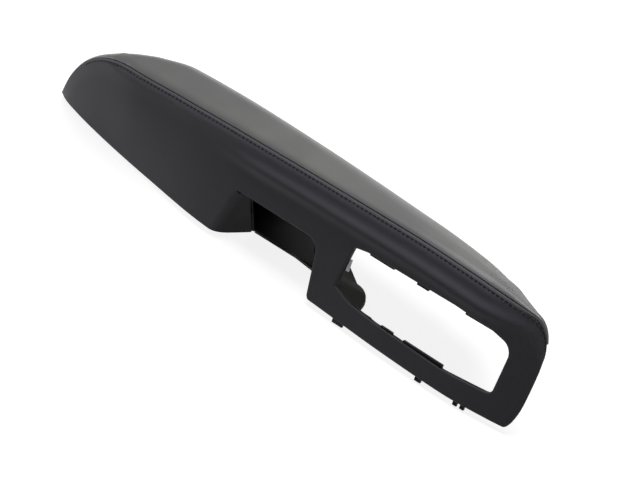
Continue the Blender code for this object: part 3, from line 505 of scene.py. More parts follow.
# %% Stations and outlines
COLUMN_STEP = 0.0016
FRAME_FOOT_Y = -0.0485
FRAME_LEAN = math.radians(26.1)
GAP_FRONT = 0.361
GAP_HEIGHT = 0.054
GAP_SLOT = 0.003
OPENING_FRONT = 0.029
OPENING_LENGTH = 0.171
OPENING_FOOT = 0.0175
EDGE_ROLL = 0.0011
SEAM_ROLL = 0.0006
TIP_START = 0.0006


def end_stations(length, first, last):
    """Distances from an end at which a quarter circle of that length turns evenly."""
    count = 22
    angles = [math.radians(first + (last - first) * i / count) for i in range(count + 1)]
    return [length * (1 - math.cos(a)) for a in angles]


nose = [NOSE_LENGTH * 0.30 * (i / 24) ** 1.7 for i in range(25)]
switch_end = [LENGTH - d for d in end_stations(END_TOP_ROUND, 90, 0)]
middle = np.linspace(nose[-1], switch_end[0], round((switch_end[0] - nose[-1]) / COLUMN_STEP))
STATIONS = nose[:-1] + list(middle) + switch_end[1:]
STATIONS = [TIP_START] + [d for d in STATIONS if TIP_START + 0.0002 < d < LENGTH - 0.0004] + [LENGTH - 0.0003]


def rounded(corners, widen=0.0):
    """Closed outline through corners (x, up, radius), as many points, moved outwards."""
    points = []
    for i, (x, y, radius) in enumerate(corners):
        before, after = np.array(corners[i - 1][:2]), np.array(corners[(i + 1) % len(corners)][:2])
        if radius == 0:
            points.append(np.array((x, y)))
            continue
        arc = fillet(before, np.array((x, y)), after, radius)
        points += [arc(step / 10) for step in range(11)]
    lengths = run_lengths(points + points[:1])
    spots = np.arange(0, lengths[-1], 0.0004)
    closed = np.array(points + points[:1])
    line = np.stack([np.interp(spots, lengths, closed[:, axis]) for axis in (0, 1)], axis=1)
    if widen:
        ahead = np.roll(line, -3, axis=0) - np.roll(line, 3, axis=0)
        ahead /= np.maximum(np.linalg.norm(ahead, axis=1), 1e-9)[:, None]
        area = np.sum(line[:, 0] * np.roll(line[:, 1], -1) - np.roll(line[:, 0], -1) * line[:, 1])
        line = line + np.stack((ahead[:, 1], -ahead[:, 0]), axis=1) * widen * np.sign(area)
    return line


GAP_CORNERS = (
    (REAR + GAP_REAR, -0.020, 0), (REAR + GAP_REAR, GAP_HEIGHT - GAP_SLOT, 0.0008),
    (REAR + GAP_REAR - TUCK_UNDER_BEAM, GAP_HEIGHT - 0.0002, 0.0003),
    (REAR + GAP_FRONT - 0.002, GAP_HEIGHT, 0.013), (REAR + GAP_FRONT + 0.003, 0.005, 0.005),
    (REAR + GAP_FRONT + 0.020, -0.020, 0))
OPENING_REAR = ((0.004, 0.0495, 0.003), (-0.003, 0.0100, 0.002), (0.014, 0.0035, 0.005),
                (0.045, 0.0010, 0.020))
OPENING_END = ((-0.050, -0.001, 0.020), (-0.003, 0.0025, 0.006), (0.0, 0.0465, 0.012),
               (-0.021, 0.0510, 0.020), (-0.060, 0.0530, 0.030))
front = -REAR - OPENING_FRONT
rear = front - OPENING_LENGTH
opening = [(rear + x, up, r) for x, up, r in OPENING_REAR]
opening += [(front + x, up, r) for x, up, r in OPENING_END] + [(rear + 0.018, 0.0520, 0.010)]
OPENING_CORNERS = [(x, OPENING_FOOT + up, r) for x, up, r in opening]
OUTLINES = [rounded(GAP_CORNERS, EDGE_ROLL), rounded(OPENING_CORNERS, EDGE_ROLL)]
print("stations:", len(STATIONS), "points on the outlines:", [len(line) for line in OUTLINES])

# %% [markdown]
# Cutting the openings with a Boolean would leave ragged slivers that spoil the shading. Here
# the cells whose middle lies inside an outline are left out, the points at the hole are slid
# onto the outline, and their neighbours follow a little. All of it happens in the flat layout
# of the frame's plane, and each moved point is then put back on the curved face.

# %% Fit the grid to the openings
def up_the_frame(y, z):
    return (y + MIDDLE_Y - FRAME_FOOT_Y) * math.sin(FRAME_LEAN) + (z - FOOT_LIFT) * math.cos(FRAME_LEAN)


def inside(outline, spots):
    """Which of the spots lie inside a closed outline, by counting crossings."""
    x, y = spots[:, 0], spots[:, 1]
    odd = np.zeros(len(spots), bool)
    for (ax, ay), (bx, by) in zip(outline, np.roll(outline, -1, axis=0)):
        crosses = (ay > y) != (by > y)
        if crosses.any():
            odd ^= crosses & (x < ax + (y - ay) * (bx - ax) / (by - ay if by != ay else 1e-12))
    return odd


def point_on_face(x, up):
    """Place and distance below the seam of the face's point at x and a height up the frame."""
    points, belows = face_section(min(max(x - REAR, 0.0), LENGTH), EDGE_ROLL)
    heights = up_the_frame(points[:, 1], points[:, 2])
    order = np.argsort(heights)
    place = [np.interp(up, heights[order], points[order, axis]) for axis in (1, 2)]
    return np.array((x, *place)), np.interp(up, heights[order], belows[order])


def chains_round(holes, columns, rows):
    """Grid points along each hole, in order."""
    links = {}
    for i in range(columns - 1):
        for j in range(rows - 1):
            if not holes[i, j]:
                continue
            for (a, b, k, m) in (((i, j), (i + 1, j), i, j - 1), ((i, j + 1), (i + 1, j + 1), i, j + 1),
                                 ((i, j), (i, j + 1), i - 1, j), ((i + 1, j), (i + 1, j + 1), i + 1, j)):
                if 0 <= k < columns - 1 and 0 <= m < rows - 1 and not holes[k, m]:
                    links.setdefault(a, []).append(b)
                    links.setdefault(b, []).append(a)
    chains = []
    while links:
        ends = [p for p, near in links.items() if len(near) == 1]
        chain = [ends[0] if ends else next(iter(links))]
        closed = not ends
        while True:
            near = links.get(chain[-1])
            if not near:
                break
            following = near.pop()
            links[following].remove(chain[-1])
            for p in (chain[-1], following):
                if p in links and not links[p]:
                    del links[p]
            if following == chain[0]:
                break
            chain.append(following)
        chains.append((chain, closed))
    return chains


def slide_to_outline(flat, chain, closed):
    """Move the chain's points onto the nearest outline and space them evenly there."""
    spots = np.array([flat[p] for p in chain])
    outline = min(OUTLINES, key=lambda line: np.linalg.norm(line - spots[len(spots) // 2], axis=1).min())
    near = np.array([np.argmin(np.linalg.norm(outline - spot, axis=1)) for spot in spots], float)
    count = len(outline)
    turns = np.unwrap(near * 2 * math.pi / count) * count / (2 * math.pi)
    for _ in range(14):
        if closed:
            whole = round((turns[-1] - turns[0]) / count) * count
            before = np.concatenate(([turns[-1] - whole], turns[:-1]))
            after = np.concatenate((turns[1:], [turns[0] + whole]))
            turns = turns * 0.4 + (before + after) * 0.3
        else:
            turns[1:-1] = turns[1:-1] * 0.4 + (turns[:-2] + turns[2:]) * 0.3
    for p, turn in zip(chain, turns):
        low = int(math.floor(turn))
        part = turn - low
        flat[p] = outline[low % count] * (1 - part) + outline[(low + 1) % count] * part
    return set(chain)


def fit_openings(points, belows):
    """Leave out the cells in the openings and fit their surroundings to the outlines."""
    columns, rows = points.shape[:2]
    flat = np.stack((points[..., 0], up_the_frame(points[..., 1], points[..., 2])), axis=2)
    middles = (flat[:-1, :-1] + flat[1:, :-1] + flat[1:, 1:] + flat[:-1, 1:]) / 4
    holes = np.zeros((columns - 1, rows - 1), bool)
    for outline in OUTLINES:
        holes |= inside(outline, middles.reshape(-1, 2)).reshape(holes.shape)
    fixed = set()
    for chain, closed in chains_round(holes, columns, rows):
        fixed |= slide_to_outline(flat, chain, closed)
    reach = set(fixed)
    for _ in range(4):
        reach |= {(i + a, j + b) for i, j in reach for a, b in ((1, 0), (-1, 0), (0, 1), (0, -1))}
    kept = np.ones((columns, rows), bool)
    kept[:-1, :-1] &= ~holes
    used = {(i + a, j + b) for i, j in zip(*np.nonzero(~holes)) for a in (0, 1) for b in (0, 1)}
    free = [p for p in reach if p in used and p not in fixed and 0 < p[0] < columns - 1 and 0 < p[1] < rows - 1]
    for _ in range(8):
        for i, j in free:
            near = [(i + 1, j), (i - 1, j), (i, j + 1), (i, j - 1)]
            near = [p for p in near if p in used]
            flat[i, j] = flat[i, j] * 0.4 + sum(flat[p] for p in near) / len(near) * 0.6
    for p in [*free, *fixed]:
        points[p], belows[p] = point_on_face(*flat[p])
    return holes


columns = [face_section(distance, EDGE_ROLL) for distance in STATIONS]
face_points = np.array([points for points, belows in columns])
face_belows = np.array([belows for points, belows in columns])
face_holes = fit_openings(face_points, face_belows)
for spot in face_points.reshape(-1, 3):
    spot[1] += tuck(spot[0] - REAR, spot[1] + MIDDLE_Y, spot[2])
print("cells on the face:", face_holes.size, "left out:", int(face_holes.sum()))

# %% [markdown]
# A sheet of leather has an outer face, an inner face and edges. Where it ends, it doesn't stop
# like a cut board: it rolls over the carrier's edge. So every open edge of the grid is carried
# on, out along the surface and down, in quarter-circle steps, and then joined to the inner
# face. A small radius near the pointed ends lets the edge fade out there.

# %% Make a sheet with turned edges
LEATHER = 0.0016
ROLL_STEPS = 4
PARED = 0.15
PARED_LENGTH = 0.012
MERGE = 0.00002


def grid_mesh(points, layout, holes):
    """A bmesh of the grid's cells, with the layout of each point in a UV map."""
    mesh = bmesh.new()
    flat_map = mesh.loops.layers.uv.new("layout")
    columns, rows = points.shape[:2]
    verts, layouts = {}, {}
    for i in range(columns - 1):
        for j in range(rows - 1):
            if holes is not None and holes[i, j]:
                continue
            corners = [(i, j), (i + 1, j), (i + 1, j + 1), (i, j + 1)]
            for p in corners:
                if p not in verts:
                    verts[p] = mesh.verts.new(points[p])
                    layouts[verts[p]] = layout[p]
            mesh.faces.new([verts[p] for p in corners])
    return mesh, flat_map, layouts


def edge_direction(loop):
    """Away from the loop's face, along the surface and square to the loop's edge."""
    way = loop.edge.verts[1].co - loop.edge.verts[0].co
    away = way.cross(loop.face.normal)
    middle = (loop.edge.verts[0].co + loop.edge.verts[1].co) / 2
    return away if away.dot(middle - loop.face.calc_center_median()) > 0 else -away


def thickness(x):
    """The leather is pared down towards the two ends, so that it can be folded there."""
    return LEATHER * (PARED + (1 - PARED) * smooth(min(x - REAR, -REAR - x) / PARED_LENGTH))


def leather_sheet(name, points, layout, roll_at, holes=None):
    mesh, flat_map, layouts = grid_mesh(points, layout, holes)
    mesh.normal_update()
    skin = list(mesh.faces)
    edges = [edge for edge in mesh.edges if edge.is_boundary]
    away = {}
    for edge in edges:
        direction = edge_direction(edge.link_loops[0])
        for vert in edge.verts:
            away[vert] = away.get(vert, Vector()) + direction
    lining = {}
    for vert in list(mesh.verts):
        lining[vert] = mesh.verts.new(vert.co - vert.normal * thickness(vert.co.x))
        layouts[lining[vert]] = layouts[vert]
    rings = {}
    for vert, direction in away.items():
        tangent = (direction - vert.normal * direction.dot(vert.normal)).normalized()
        roll = roll_at(vert.co.x - REAR, layouts[vert])
        ring = [vert]
        for step in range(1, ROLL_STEPS + 1):
            turn = math.pi / 2 * step / ROLL_STEPS
            place = vert.co + tangent * roll * math.sin(turn) - vert.normal * roll * (1 - math.cos(turn))
            ring.append(mesh.verts.new(place))
        ring.append(mesh.verts.new(vert.co + tangent * roll - vert.normal * thickness(vert.co.x)))
        ring.append(lining[vert])
        for made in ring[1:-1]:
            layouts[made] = layouts[vert]
        rings[vert] = ring
    for edge in edges:
        loop = edge.link_loops[0]
        first, second = rings[loop.link_loop_next.vert], rings[loop.vert]
        for k in range(ROLL_STEPS + 2):
            mesh.faces.new((first[k], second[k], second[k + 1], first[k + 1]))
    for face in skin:
        mesh.faces.new([lining[vert] for vert in reversed(face.verts)])
    for face in mesh.faces:
        for loop in face.loops:
            loop[flat_map].uv = layouts[loop.vert]
    return finished(name, mesh)


def finished(name, mesh, sharp=math.radians(50)):
    """The bmesh as a smooth-shaded object of the armrest, on its only body."""
    data = bpy.data.meshes.new(name)
    mesh.to_mesh(data)
    mesh.free()
    data.shade_smooth()
    data.set_sharp_from_angle(angle=sharp)
    piece = bpy.data.objects.new(name, data)
    bpy.context.scene.collection.objects.link(piece)
    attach(piece, "root")
    return piece


def size_of(piece):
    """Faces, and the number of edges that don't join two faces."""
    mesh = bmesh.new()
    mesh.from_mesh(piece.data)
    loose = sum(len(edge.link_faces) != 2 for edge in mesh.edges)
    count = len(mesh.faces)
    volume = mesh.calc_volume(signed=True) * 1e6
    mesh.free()
    return f"{piece.name}: {count} faces, {loose} open edges, {volume:.1f} cm3"


def end_fade(distance):
    """Small where the sections shrink to a point, so that the turned edges shrink too."""
    return smooth(min(distance, LENGTH - distance) / 0.006)


# %% The dark cover
def face_roll(distance, layout):
    at_seam = layout[1] < 2 * EDGE_ROLL
    return (SEAM_ROLL if at_seam else EDGE_ROLL) * end_fade(distance)


places = np.repeat(np.array(STATIONS)[:, None], face_points.shape[1], axis=1)
face_layout = np.stack((places, face_belows), axis=2)
face_leather = leather_sheet("face_leather", face_points, face_layout, face_roll, face_holes)
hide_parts("face_cover")
print(size_of(face_leather))

# %% [markdown]
# The light cover lies over the elbow pad. It starts at the seam, rounds the shoulder and ends
# at the hidden heel. It tapers out at both ends, where the real one is folded under the dark
# cover, so its sections there are pulled in towards the seam.

# %% The light cover
SIDE_ROWS = 54
SIDE_START = 0.0500
NOSE_PANEL_START = 0.0030
SIDE_STOP = LENGTH - 0.0022


def panel(name, start, stop):
    """A sheet of the strip between two distances, its edges turned at the ends too."""
    def roll(distance, layout):
        at_seam = layout[1] < 2 * EDGE_ROLL
        return (SEAM_ROLL if at_seam else EDGE_ROLL * 0.7) * max(end_fade(distance), 0.1)

    between = [start] + [d for d in STATIONS if start + 0.0006 < d < stop - 0.0006] + [stop]
    columns = [strip_section(distance, SIDE_ROWS, SEAM_ROLL) for distance in between]
    points = np.array([points for points, past in columns])
    pasts = np.array([past for points, past in columns])
    places = np.repeat(np.array(between)[:, None], SIDE_ROWS, axis=1)
    return leather_sheet(name, points, np.stack((places, pasts), axis=2), roll)


side_leather = panel("side_leather", SIDE_START + SEAM_ROLL, SIDE_STOP)
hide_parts("side_cover")
nose_leather = panel("nose_leather", NOSE_PANEL_START, SIDE_START - SEAM_ROLL)
print(size_of(nose_leather))
print(size_of(side_leather))

# %% [markdown]
# The elbow rests on a pad of foam between the light cover and the shell. Nobody sees it in the
# photograph, but the covers are open at the back, so it is made as a real cushion: crowned in
# the middle, thin at its edges, and closed all round.

# %% The elbow pad
PAD = 0.005
PAD_START = 0.100
PAD_END = 0.400
PAD_BLEND = 0.030
PAD_DEPTH = LEATHER + 0.0003
PAD_ROWS = 22
PAD_COLUMNS = 150


def pad_section(distance):
    """Outer and inner points of the pad in one section, with its thickness crowned."""
    foot, crest, shoulder, heel, full = corners_at(distance)
    arc, round_off = fillet(foot, crest, shoulder, CREST_RADIUS), fillet(crest, shoulder, heel, SHOULDER_RADIUS)
    path = [arc(1)] + [round_off(part / 12) for part in range(13)]
    lengths = run_lengths(path)
    spots = np.linspace(lengths[-1] * 0.04, lengths[-1] * 0.97, PAD_ROWS)
    line = np.stack([np.interp(spots, lengths, [q[axis] for q in path]) for axis in (0, 1)], axis=1)
    ahead = np.gradient(line, axis=0)
    ahead /= np.linalg.norm(ahead, axis=1)[:, None]
    inwards = np.stack((ahead[:, 1], -ahead[:, 0]), axis=1)
    blend = min(smooth((distance - PAD_START + PAD_BLEND) / PAD_BLEND),
                smooth((PAD_END + PAD_BLEND - distance) / PAD_BLEND))
    across = np.linspace(-1, 1, PAD_ROWS)
    thick = PAD * blend * 0.94 * (1 - across ** 4)
    dip = (PAD * blend * 0.94 - thick) * 0.35
    outer = line + inwards * (PAD_DEPTH + dip)[:, None]
    inner = line + inwards * (PAD_DEPTH + dip + thick)[:, None]
    return [[(REAR + distance, y - MIDDLE_Y, z) for y, z in side] for side in (outer, inner)]


def make_elbow_foam():
    mesh = bmesh.new()
    sections = [pad_section(d) for d in np.linspace(PAD_START - 0.012, PAD_END + 0.012, PAD_COLUMNS)]
    grids = [[[mesh.verts.new(q) for q in section[side]] for section in sections] for side in (0, 1)]
    for i in range(PAD_COLUMNS - 1):
        for j in range(PAD_ROWS - 1):
            for grid, order in ((grids[0], 1), (grids[1], -1)):
                mesh.faces.new([grid[i][j], grid[i + 1][j], grid[i + 1][j + 1], grid[i][j + 1]][::order])
    for i in range(PAD_COLUMNS - 1):
        for j, order in ((0, -1), (PAD_ROWS - 1, 1)):
            ring = [grids[0][i][j], grids[0][i + 1][j], grids[1][i + 1][j], grids[1][i][j]]
            mesh.faces.new(ring[::order])
    for j in range(PAD_ROWS - 1):
        for i, order in ((0, 1), (PAD_COLUMNS - 1, -1)):
            ring = [grids[0][i][j], grids[0][i][j + 1], grids[1][i][j + 1], grids[1][i][j]]
            mesh.faces.new(ring[::order])
    bmesh.ops.remove_doubles(mesh, verts=mesh.verts, dist=MERGE)
    bmesh.ops.recalc_face_normals(mesh, faces=mesh.faces)
    return finished("elbow_foam", mesh)


elbow_foam = make_elbow_foam()
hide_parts("elbow_pad")
print(size_of(elbow_foam))

# %% [markdown]
# The rigid pieces come from the CAD model as they are. Their meshes arrive as loose triangles,
# which shade like cut stone, so each visible one is copied, its points are merged, and it is
# shaded smooth except where faces meet at a real edge. The copy stands for the CAD node.

# %% Smooth copies of the rigid pieces
RIGID = {
    "carrier": "black_plastic", "pull_cup": "black_plastic", "grip_bracket": "bracket_steel",
    "grip_screw_1": "bracket_steel", "grip_screw_2": "bracket_steel", "grip_screw_3": "bracket_steel",
    "tower_insert_1": "insert_brass", "tower_insert_2": "insert_brass",
    "switch_clip_rear": "spring_steel", "switch_clip_front": "spring_steel",
    "edge_clip_1": "spring_steel", "edge_clip_2": "spring_steel",
    "edge_clip_3": "spring_steel", "edge_clip_4": "spring_steel",
}


def follow_roll(mesh):
    """Push the shell's wall in behind the rolled leather at the rear of the gap."""
    for vert in mesh.verts:
        distance, z = vert.co.x - REAR, vert.co.z
        if not 0.235 < distance < GAP_REAR + TUCK_RETURN or z > BEAM_EDGE:
            continue
        foot, crest = corners_at(distance)[:2]
        face_y = foot[0] + (crest[0] - foot[0]) * (z - foot[1]) / (crest[1] - foot[1])
        depth = vert.co.y + MIDDLE_Y - face_y
        cad_roll = max(TUCK_Y - face_y, 0.0) * smooth((distance - GAP_REAR + TUCK_LENGTH) / TUCK_LENGTH)
        cad_roll *= (1 - smooth((distance - GAP_REAR) / TUCK_RETURN)) * smooth((0.056 - z) / 0.022)
        if depth - cad_roll < 0.008:
            vert.co.y += max(tuck(distance, face_y, z, 0.004) - cad_roll, 0.0)


def smooth_copy(node):
    mesh = bmesh.new()
    mesh.from_mesh(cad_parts[node].data)
    mesh.transform(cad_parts[node].matrix_world)
    bmesh.ops.remove_doubles(mesh, verts=mesh.verts, dist=MERGE)
    if node == "carrier":
        follow_roll(mesh)
    piece = finished(f"{node}_part", mesh, math.radians(28))
    piece.data.materials.clear()
    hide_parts(node)
    return piece


rigid = {node: smooth_copy(node) for node, slot in RIGID.items()}
for piece in rigid.values():
    print(size_of(piece))

# %% [markdown]
# Thread is the detail that the eye looks for on sewn leather. Each stitch is a short bent strand
# that dives into the leather at both ends. Geometry Nodes lay it down along a line on the cover:
# the line is cut into equal steps, a strand is put at each, turned to the line and stood up
# from the surface, and a fixed seed makes them differ a little, as a sewing machine does.

# %% The line of the stitches
STITCH_PITCH = 0.0045
STITCH_LENGTH = 0.0031
THREAD_RADIUS = 0.00066
STITCH_RISE = 0.00025
STITCH_START = 0.050
STITCH_STOP = LENGTH - 0.0012


def stitch_line(below_seam, step=0.0012):
    """Points of a line on the dark cover, each with the direction out of the surface."""
    points, outs = [], []
    for distance in np.arange(STITCH_START, STITCH_STOP, step):
        place, total = face_path(distance)
        below = below_seam * min(total / 0.040, 1.0)
        spot, lower = place(below), place(below + 0.0006)
        beyond = face_path(distance + 0.0006)[0](below)
        out = unit(np.cross(beyond - spot, spot - lower))
        points.append(spot + out * 0.00012)
        outs.append(out)
    data = bpy.data.meshes.new("stitch_line")
    data.from_pydata([tuple(q) for q in points], [(i, i + 1) for i in range(len(points) - 1)], [])
    data.attributes.new("out", "FLOAT_VECTOR", "POINT").data.foreach_set("vector", np.array(outs).ravel())
    line = bpy.data.objects.new("stitch_line", data)
    bpy.context.scene.collection.objects.link(line)
    return line


# %% The stitch tree
def node_in(tree, kind, settings=None, inputs=None):
    node = tree.nodes.new(kind)
    for name, value in (settings or {}).items():
        setattr(node, name, value)
    for name, value in (inputs or {}).items():
        if isinstance(value, bpy.types.NodeSocket):
            tree.links.new(value, node.inputs[name])
        else:
            node.inputs[name].default_value = value
    return node


def stitch_tree(thread):
    tree = bpy.data.node_groups.new("stitch_row", "GeometryNodeTree")
    sizes = (("Pitch", STITCH_PITCH), ("Length", STITCH_LENGTH), ("Radius", THREAD_RADIUS),
             ("Rise", STITCH_RISE))
    tree.interface.new_socket("Line", in_out="INPUT", socket_type="NodeSocketGeometry")
    for name, value in sizes:
        socket = tree.interface.new_socket(name, in_out="INPUT", socket_type="NodeSocketFloat")
        socket.default_value = value
    seed = tree.interface.new_socket("Seed", in_out="INPUT", socket_type="NodeSocketInt")
    seed.default_value = 7
    tree.interface.new_socket("Stitches", in_out="OUTPUT", socket_type="NodeSocketGeometry")
    given = tree.nodes.new("NodeGroupInput").outputs
    half = node_in(tree, "ShaderNodeMath", {"operation": "MULTIPLY"}, {0: given["Length"], 1: 0.5})
    back = node_in(tree, "ShaderNodeMath", {"operation": "MULTIPLY"}, {0: given["Length"], 1: -0.5})
    sunk = node_in(tree, "ShaderNodeMath", {"operation": "MULTIPLY"}, {0: given["Rise"], 1: -1.4})
    crown = node_in(tree, "ShaderNodeMath", {"operation": "MULTIPLY"}, {0: given["Rise"], 1: 2.2})
    start = node_in(tree, "ShaderNodeCombineXYZ", None, {"X": back.outputs[0], "Z": sunk.outputs[0]})
    top = node_in(tree, "ShaderNodeCombineXYZ", None, {"Z": crown.outputs[0]})
    end = node_in(tree, "ShaderNodeCombineXYZ", None, {"X": half.outputs[0], "Z": sunk.outputs[0]})
    strand = node_in(tree, "GeometryNodeCurveQuadraticBezier", None, {
        "Resolution": 6, "Start": start.outputs[0], "Middle": top.outputs[0], "End": end.outputs[0]})
    profile = node_in(tree, "GeometryNodeCurvePrimitiveCircle", None,
                      {"Resolution": 6, "Radius": given["Radius"]})
    stitch = node_in(tree, "GeometryNodeCurveToMesh", None, {
        "Curve": strand.outputs[0], "Profile Curve": profile.outputs[0], "Fill Caps": True})
    path = node_in(tree, "GeometryNodeMeshToCurve", None, {"Mesh": given["Line"]})
    spaced = tree.nodes.new("GeometryNodeResampleCurve")
    if hasattr(spaced, "mode"):
        spaced.mode = "LENGTH"
    tree.links.new(path.outputs[0], spaced.inputs["Curve"])
    tree.links.new(given["Pitch"], spaced.inputs["Length"])
    out = node_in(tree, "GeometryNodeInputNamedAttribute", {"data_type": "FLOAT_VECTOR"}, {"Name": "out"})
    tangent = tree.nodes.new("GeometryNodeInputTangent")
    stood = node_in(tree, "FunctionNodeAlignRotationToVector", {"axis": "Z"}, {"Vector": out.outputs[0]})
    turned = node_in(tree, "FunctionNodeAlignRotationToVector", {"axis": "X", "pivot_axis": "Z"},
                     {"Rotation": stood.outputs[0], "Vector": tangent.outputs[0]})
    scale = node_in(tree, "FunctionNodeRandomValue", {"data_type": "FLOAT"}, {"Seed": given["Seed"]})
    for socket in scale.inputs:
        if socket.enabled and socket.name in ("Min", "Max"):
            socket.default_value = 0.95 if socket.name == "Min" else 1.05
    size = next(socket for socket in scale.outputs if socket.enabled)
    row = node_in(tree, "GeometryNodeInstanceOnPoints", None, {
        "Points": spaced.outputs[0], "Instance": stitch.outputs[0],
        "Rotation": turned.outputs[0], "Scale": size})
    real = node_in(tree, "GeometryNodeRealizeInstances", None, {"Geometry": row.outputs[0]})
    soft = node_in(tree, "GeometryNodeSetShadeSmooth", None, {"Geometry": real.outputs[0]})
    painted = node_in(tree, "GeometryNodeSetMaterial", None,
                      {"Geometry": soft.outputs[0], "Material": thread})
    tree.links.new(painted.outputs[0], tree.nodes.new("NodeGroupOutput").inputs[0])
    return tree


def add_stitches(name, below_seam, thread):
    line = stitch_line(below_seam)
    modifier = line.modifiers.new("stitch_row", "NODES")
    modifier.node_group = stitch_tree(thread)
    sizes = {"Pitch": STITCH_PITCH, "Length": STITCH_LENGTH, "Radius": THREAD_RADIUS,
             "Rise": STITCH_RISE, "Seed": 7}
    for socket in modifier.node_group.interface.items_tree:
        if socket.name in sizes:
            modifier[socket.identifier] = sizes[socket.name]
    bpy.context.view_layer.update()
    made = line.evaluated_get(bpy.context.evaluated_depsgraph_get())
    data = bpy.data.meshes.new_from_object(made)
    bpy.data.objects.remove(line, do_unlink=True)
    piece = bpy.data.objects.new(name, data)
    bpy.context.scene.collection.objects.link(piece)
    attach(piece, "root")
    return piece


# %% [markdown]
# Leather is grained: thousands of small rounded pebbles with creases between them. A cellular
# texture gives the pebbles and two noises break them up, one for the skin's fine pores and a
# broad one that makes some areas a little lighter and duller, as cleaning and use do.

# %% Leather and thread
# Width below the seam of a paler band on the dark cover, a painted highlight where light falls on the crest.
PAINTED_HIGHLIGHT_ZONE = 0.026


def leather(name, color, worn, roughness, grain_size, shine, painted_highlight=None, painted_shade=None):
    finish = Finish(name, color, roughness, Specular_IOR_Level=shine)
    pebbles = finish.cells(1 / grain_size)
    pores = finish.noise(2.2 / grain_size, 3.0)
    broad = finish.noise(11.0, 3.0)
    patches = broad.between(0.38, 0.66)
    base = finish.mixed(patches * 0.7 + pores * 0.25, srgb(color), srgb(worn))
    # The band under the seam is painted paler: painted highlight standing in for the light on the crest.
    if painted_highlight:
        layout = finish.node("ShaderNodeUVMap", {"uv_map": "layout"})
        below_seam = finish.node("ShaderNodeSeparateXYZ", {}, (layout,), output=1)
        base = finish.mixed(below_seam.between(PAINTED_HIGHLIGHT_ZONE, 0.004), base, srgb(painted_highlight))
    # The leather rolling into the pull gap is painted darker: painted shade in the recess under the grab beam.
    if painted_shade:
        x, height = [finish.node("ShaderNodeSeparateXYZ", {}, (finish.place(),), output=axis) for axis in (0, 2)]
        start = height * ((TUCK_LENGTH - TUCK_UNDER_BEAM) / BEAM_EDGE) + (REAR + GAP_REAR - TUCK_LENGTH)
        rolled = (x - start).between(0.003, 0.013) * height.between(BEAM_EDGE + 0.001, BEAM_EDGE - 0.001)
        base = finish.mixed(rolled * x.between(0.03, 0.0), base, srgb(painted_shade))
    finish.feed("Base Color", base)
    finish.feed("Roughness", patches * 0.07 + pores * 0.08 + (roughness - 0.07))
    finish.bump(pores * 0.5 - pebbles, grain_size * 0.10, 0.55)
    return finish.material


# The 1c1c1f colour in the roll of the pull gap is painted shade.
# The dark cover's 66656d band below the seam is painted highlight.
dark = leather("dark_leather_finish", "4b4b52", "525258", 0.54, 0.0011, 0.24, "66656d", painted_shade="1c1c1f")
light = leather("light_leather_finish", "737373", "7d7d7b", 0.38, 0.0011, 0.5)
thread = Finish("thread_finish", "1f1f22", 0.55)
strands = thread.noise(2600.0, 2.0)
thread.feed("Base Color", thread.mixed(strands, srgb("0d0d0e"), srgb("161617")))
thread.bump(strands, 0.00012, 0.6)
face_leather.data.materials.append(dark)
nose_leather.data.materials.append(dark)
side_leather.data.materials.append(light)
seam_stitches = add_stitches("seam_stitches", STITCH_BELOW_SEAM, thread.material)
print("stitches:", len(seam_stitches.data.polygons) // 38, size_of(seam_stitches))

# %% [markdown]
# Moulded plastic has a fine spark-eroded texture, with faint scuffs where parts were pushed
# together. The metals differ by their surface: zinc plating is cloudy, spring steel is smooth
# with fine drawn lines, and brass is turned. Felt is a mat of fibres and foam is full of pores.

# %% Finishes of the hidden parts
# Top of the finger cup's flange, below which the cup's plastic is painted paler.
FLANGE_TOP = 0.0040


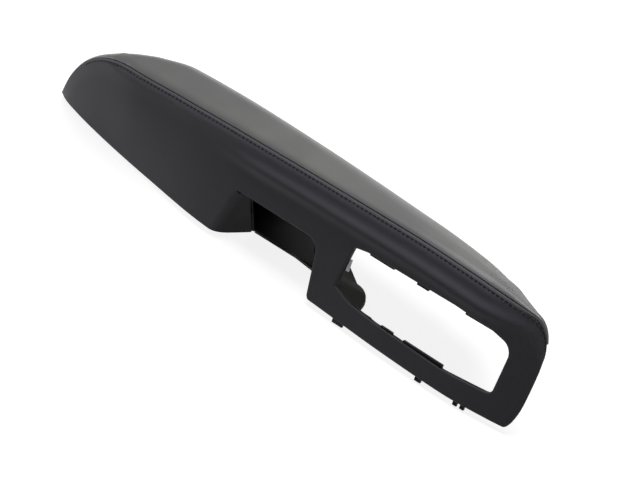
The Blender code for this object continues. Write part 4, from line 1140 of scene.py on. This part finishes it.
def plastic(name, color, scuffed, roughness, painted_light_flange=None):
    finish = Finish(name, color, roughness, Specular_IOR_Level=0.15)
    texture = finish.noise(1500.0, 2.0)
    broad = finish.noise(24.0, 4.0).between(0.45, 0.75)
    base = finish.mixed(broad * 0.8 + texture * 0.2, srgb(color), srgb(scuffed))
    # The flange is painted paler: painted light where the lamps reach it through the switch opening.
    if painted_light_flange:
        height = finish.node("ShaderNodeSeparateXYZ", {}, (finish.place(),), output=2)
        base = finish.mixed(height.between(FLANGE_TOP + 0.0008, FLANGE_TOP + 0.0002), base, srgb(painted_light_flange))
    finish.feed("Base Color", base)
    finish.feed("Roughness", broad * 0.10 + texture * 0.08 + roughness)
    finish.bump(texture, 0.00008, 0.5)
    return finish.material


def metal(name, color, cloud, roughness, scale):
    finish = Finish(name, color, roughness, 1.0)
    clouds = finish.noise(scale, 4.0)
    lines = finish.noise(1800.0, 2.0)
    finish.feed("Base Color", finish.mixed(clouds.between(0.35, 0.7), srgb(color), srgb(cloud)))
    finish.feed("Roughness", clouds * 0.18 + lines * 0.08 + roughness)
    finish.bump(lines, 0.00002, 0.4)
    return finish.material


def fibres(name, color, lighter, scale, depth):
    finish = Finish(name, color, 0.95)
    mat = finish.noise(scale, 5.0)
    pores = finish.cells(scale * 0.8)
    finish.feed("Base Color", finish.mixed(mat.between(0.3, 0.7), srgb(color), srgb(lighter)))
    finish.feed("Roughness", mat * 0.08 + 0.88)
    finish.bump(mat + pores * 0.6, depth, 0.8)
    return finish.material


finishes = {
    "black_plastic": plastic("black_plastic_finish", "1d1d1f", "2a2a2b", 0.42),
    "bracket_steel": metal("zinc_finish", "a9abad", "8d9092", 0.30, 160.0),
    "spring_steel": metal("spring_steel_finish", "b9babc", "a2a3a6", 0.18, 240.0),
    "insert_brass": metal("brass_finish", "b79a5e", "9d8148", 0.28, 320.0),
    "felt": fibres("felt_finish", "26262a", "37373a", 900.0, 0.0004),
    "grey_foam": fibres("foam_finish", "7d7d7a", "93938f", 420.0, 0.0005),
}
# The cup's near-black body is painted shade for the deep pull gap, and its pale flange is painted light.
finishes["cup"] = plastic("cup_finish", "0a0a0b", "101012", 0.5, painted_light_flange="74756f")
for node, piece in rigid.items():
    piece.data.materials.append(finishes["cup" if node == "pull_cup" else RIGID[node]])
elbow_foam.data.materials.append(finishes["grey_foam"])
for name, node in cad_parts.items():
    if name.startswith("felt"):
        for place in node.material_slots:
            place.material = finishes["felt"]
print("finishes:", len(finishes) + 3)
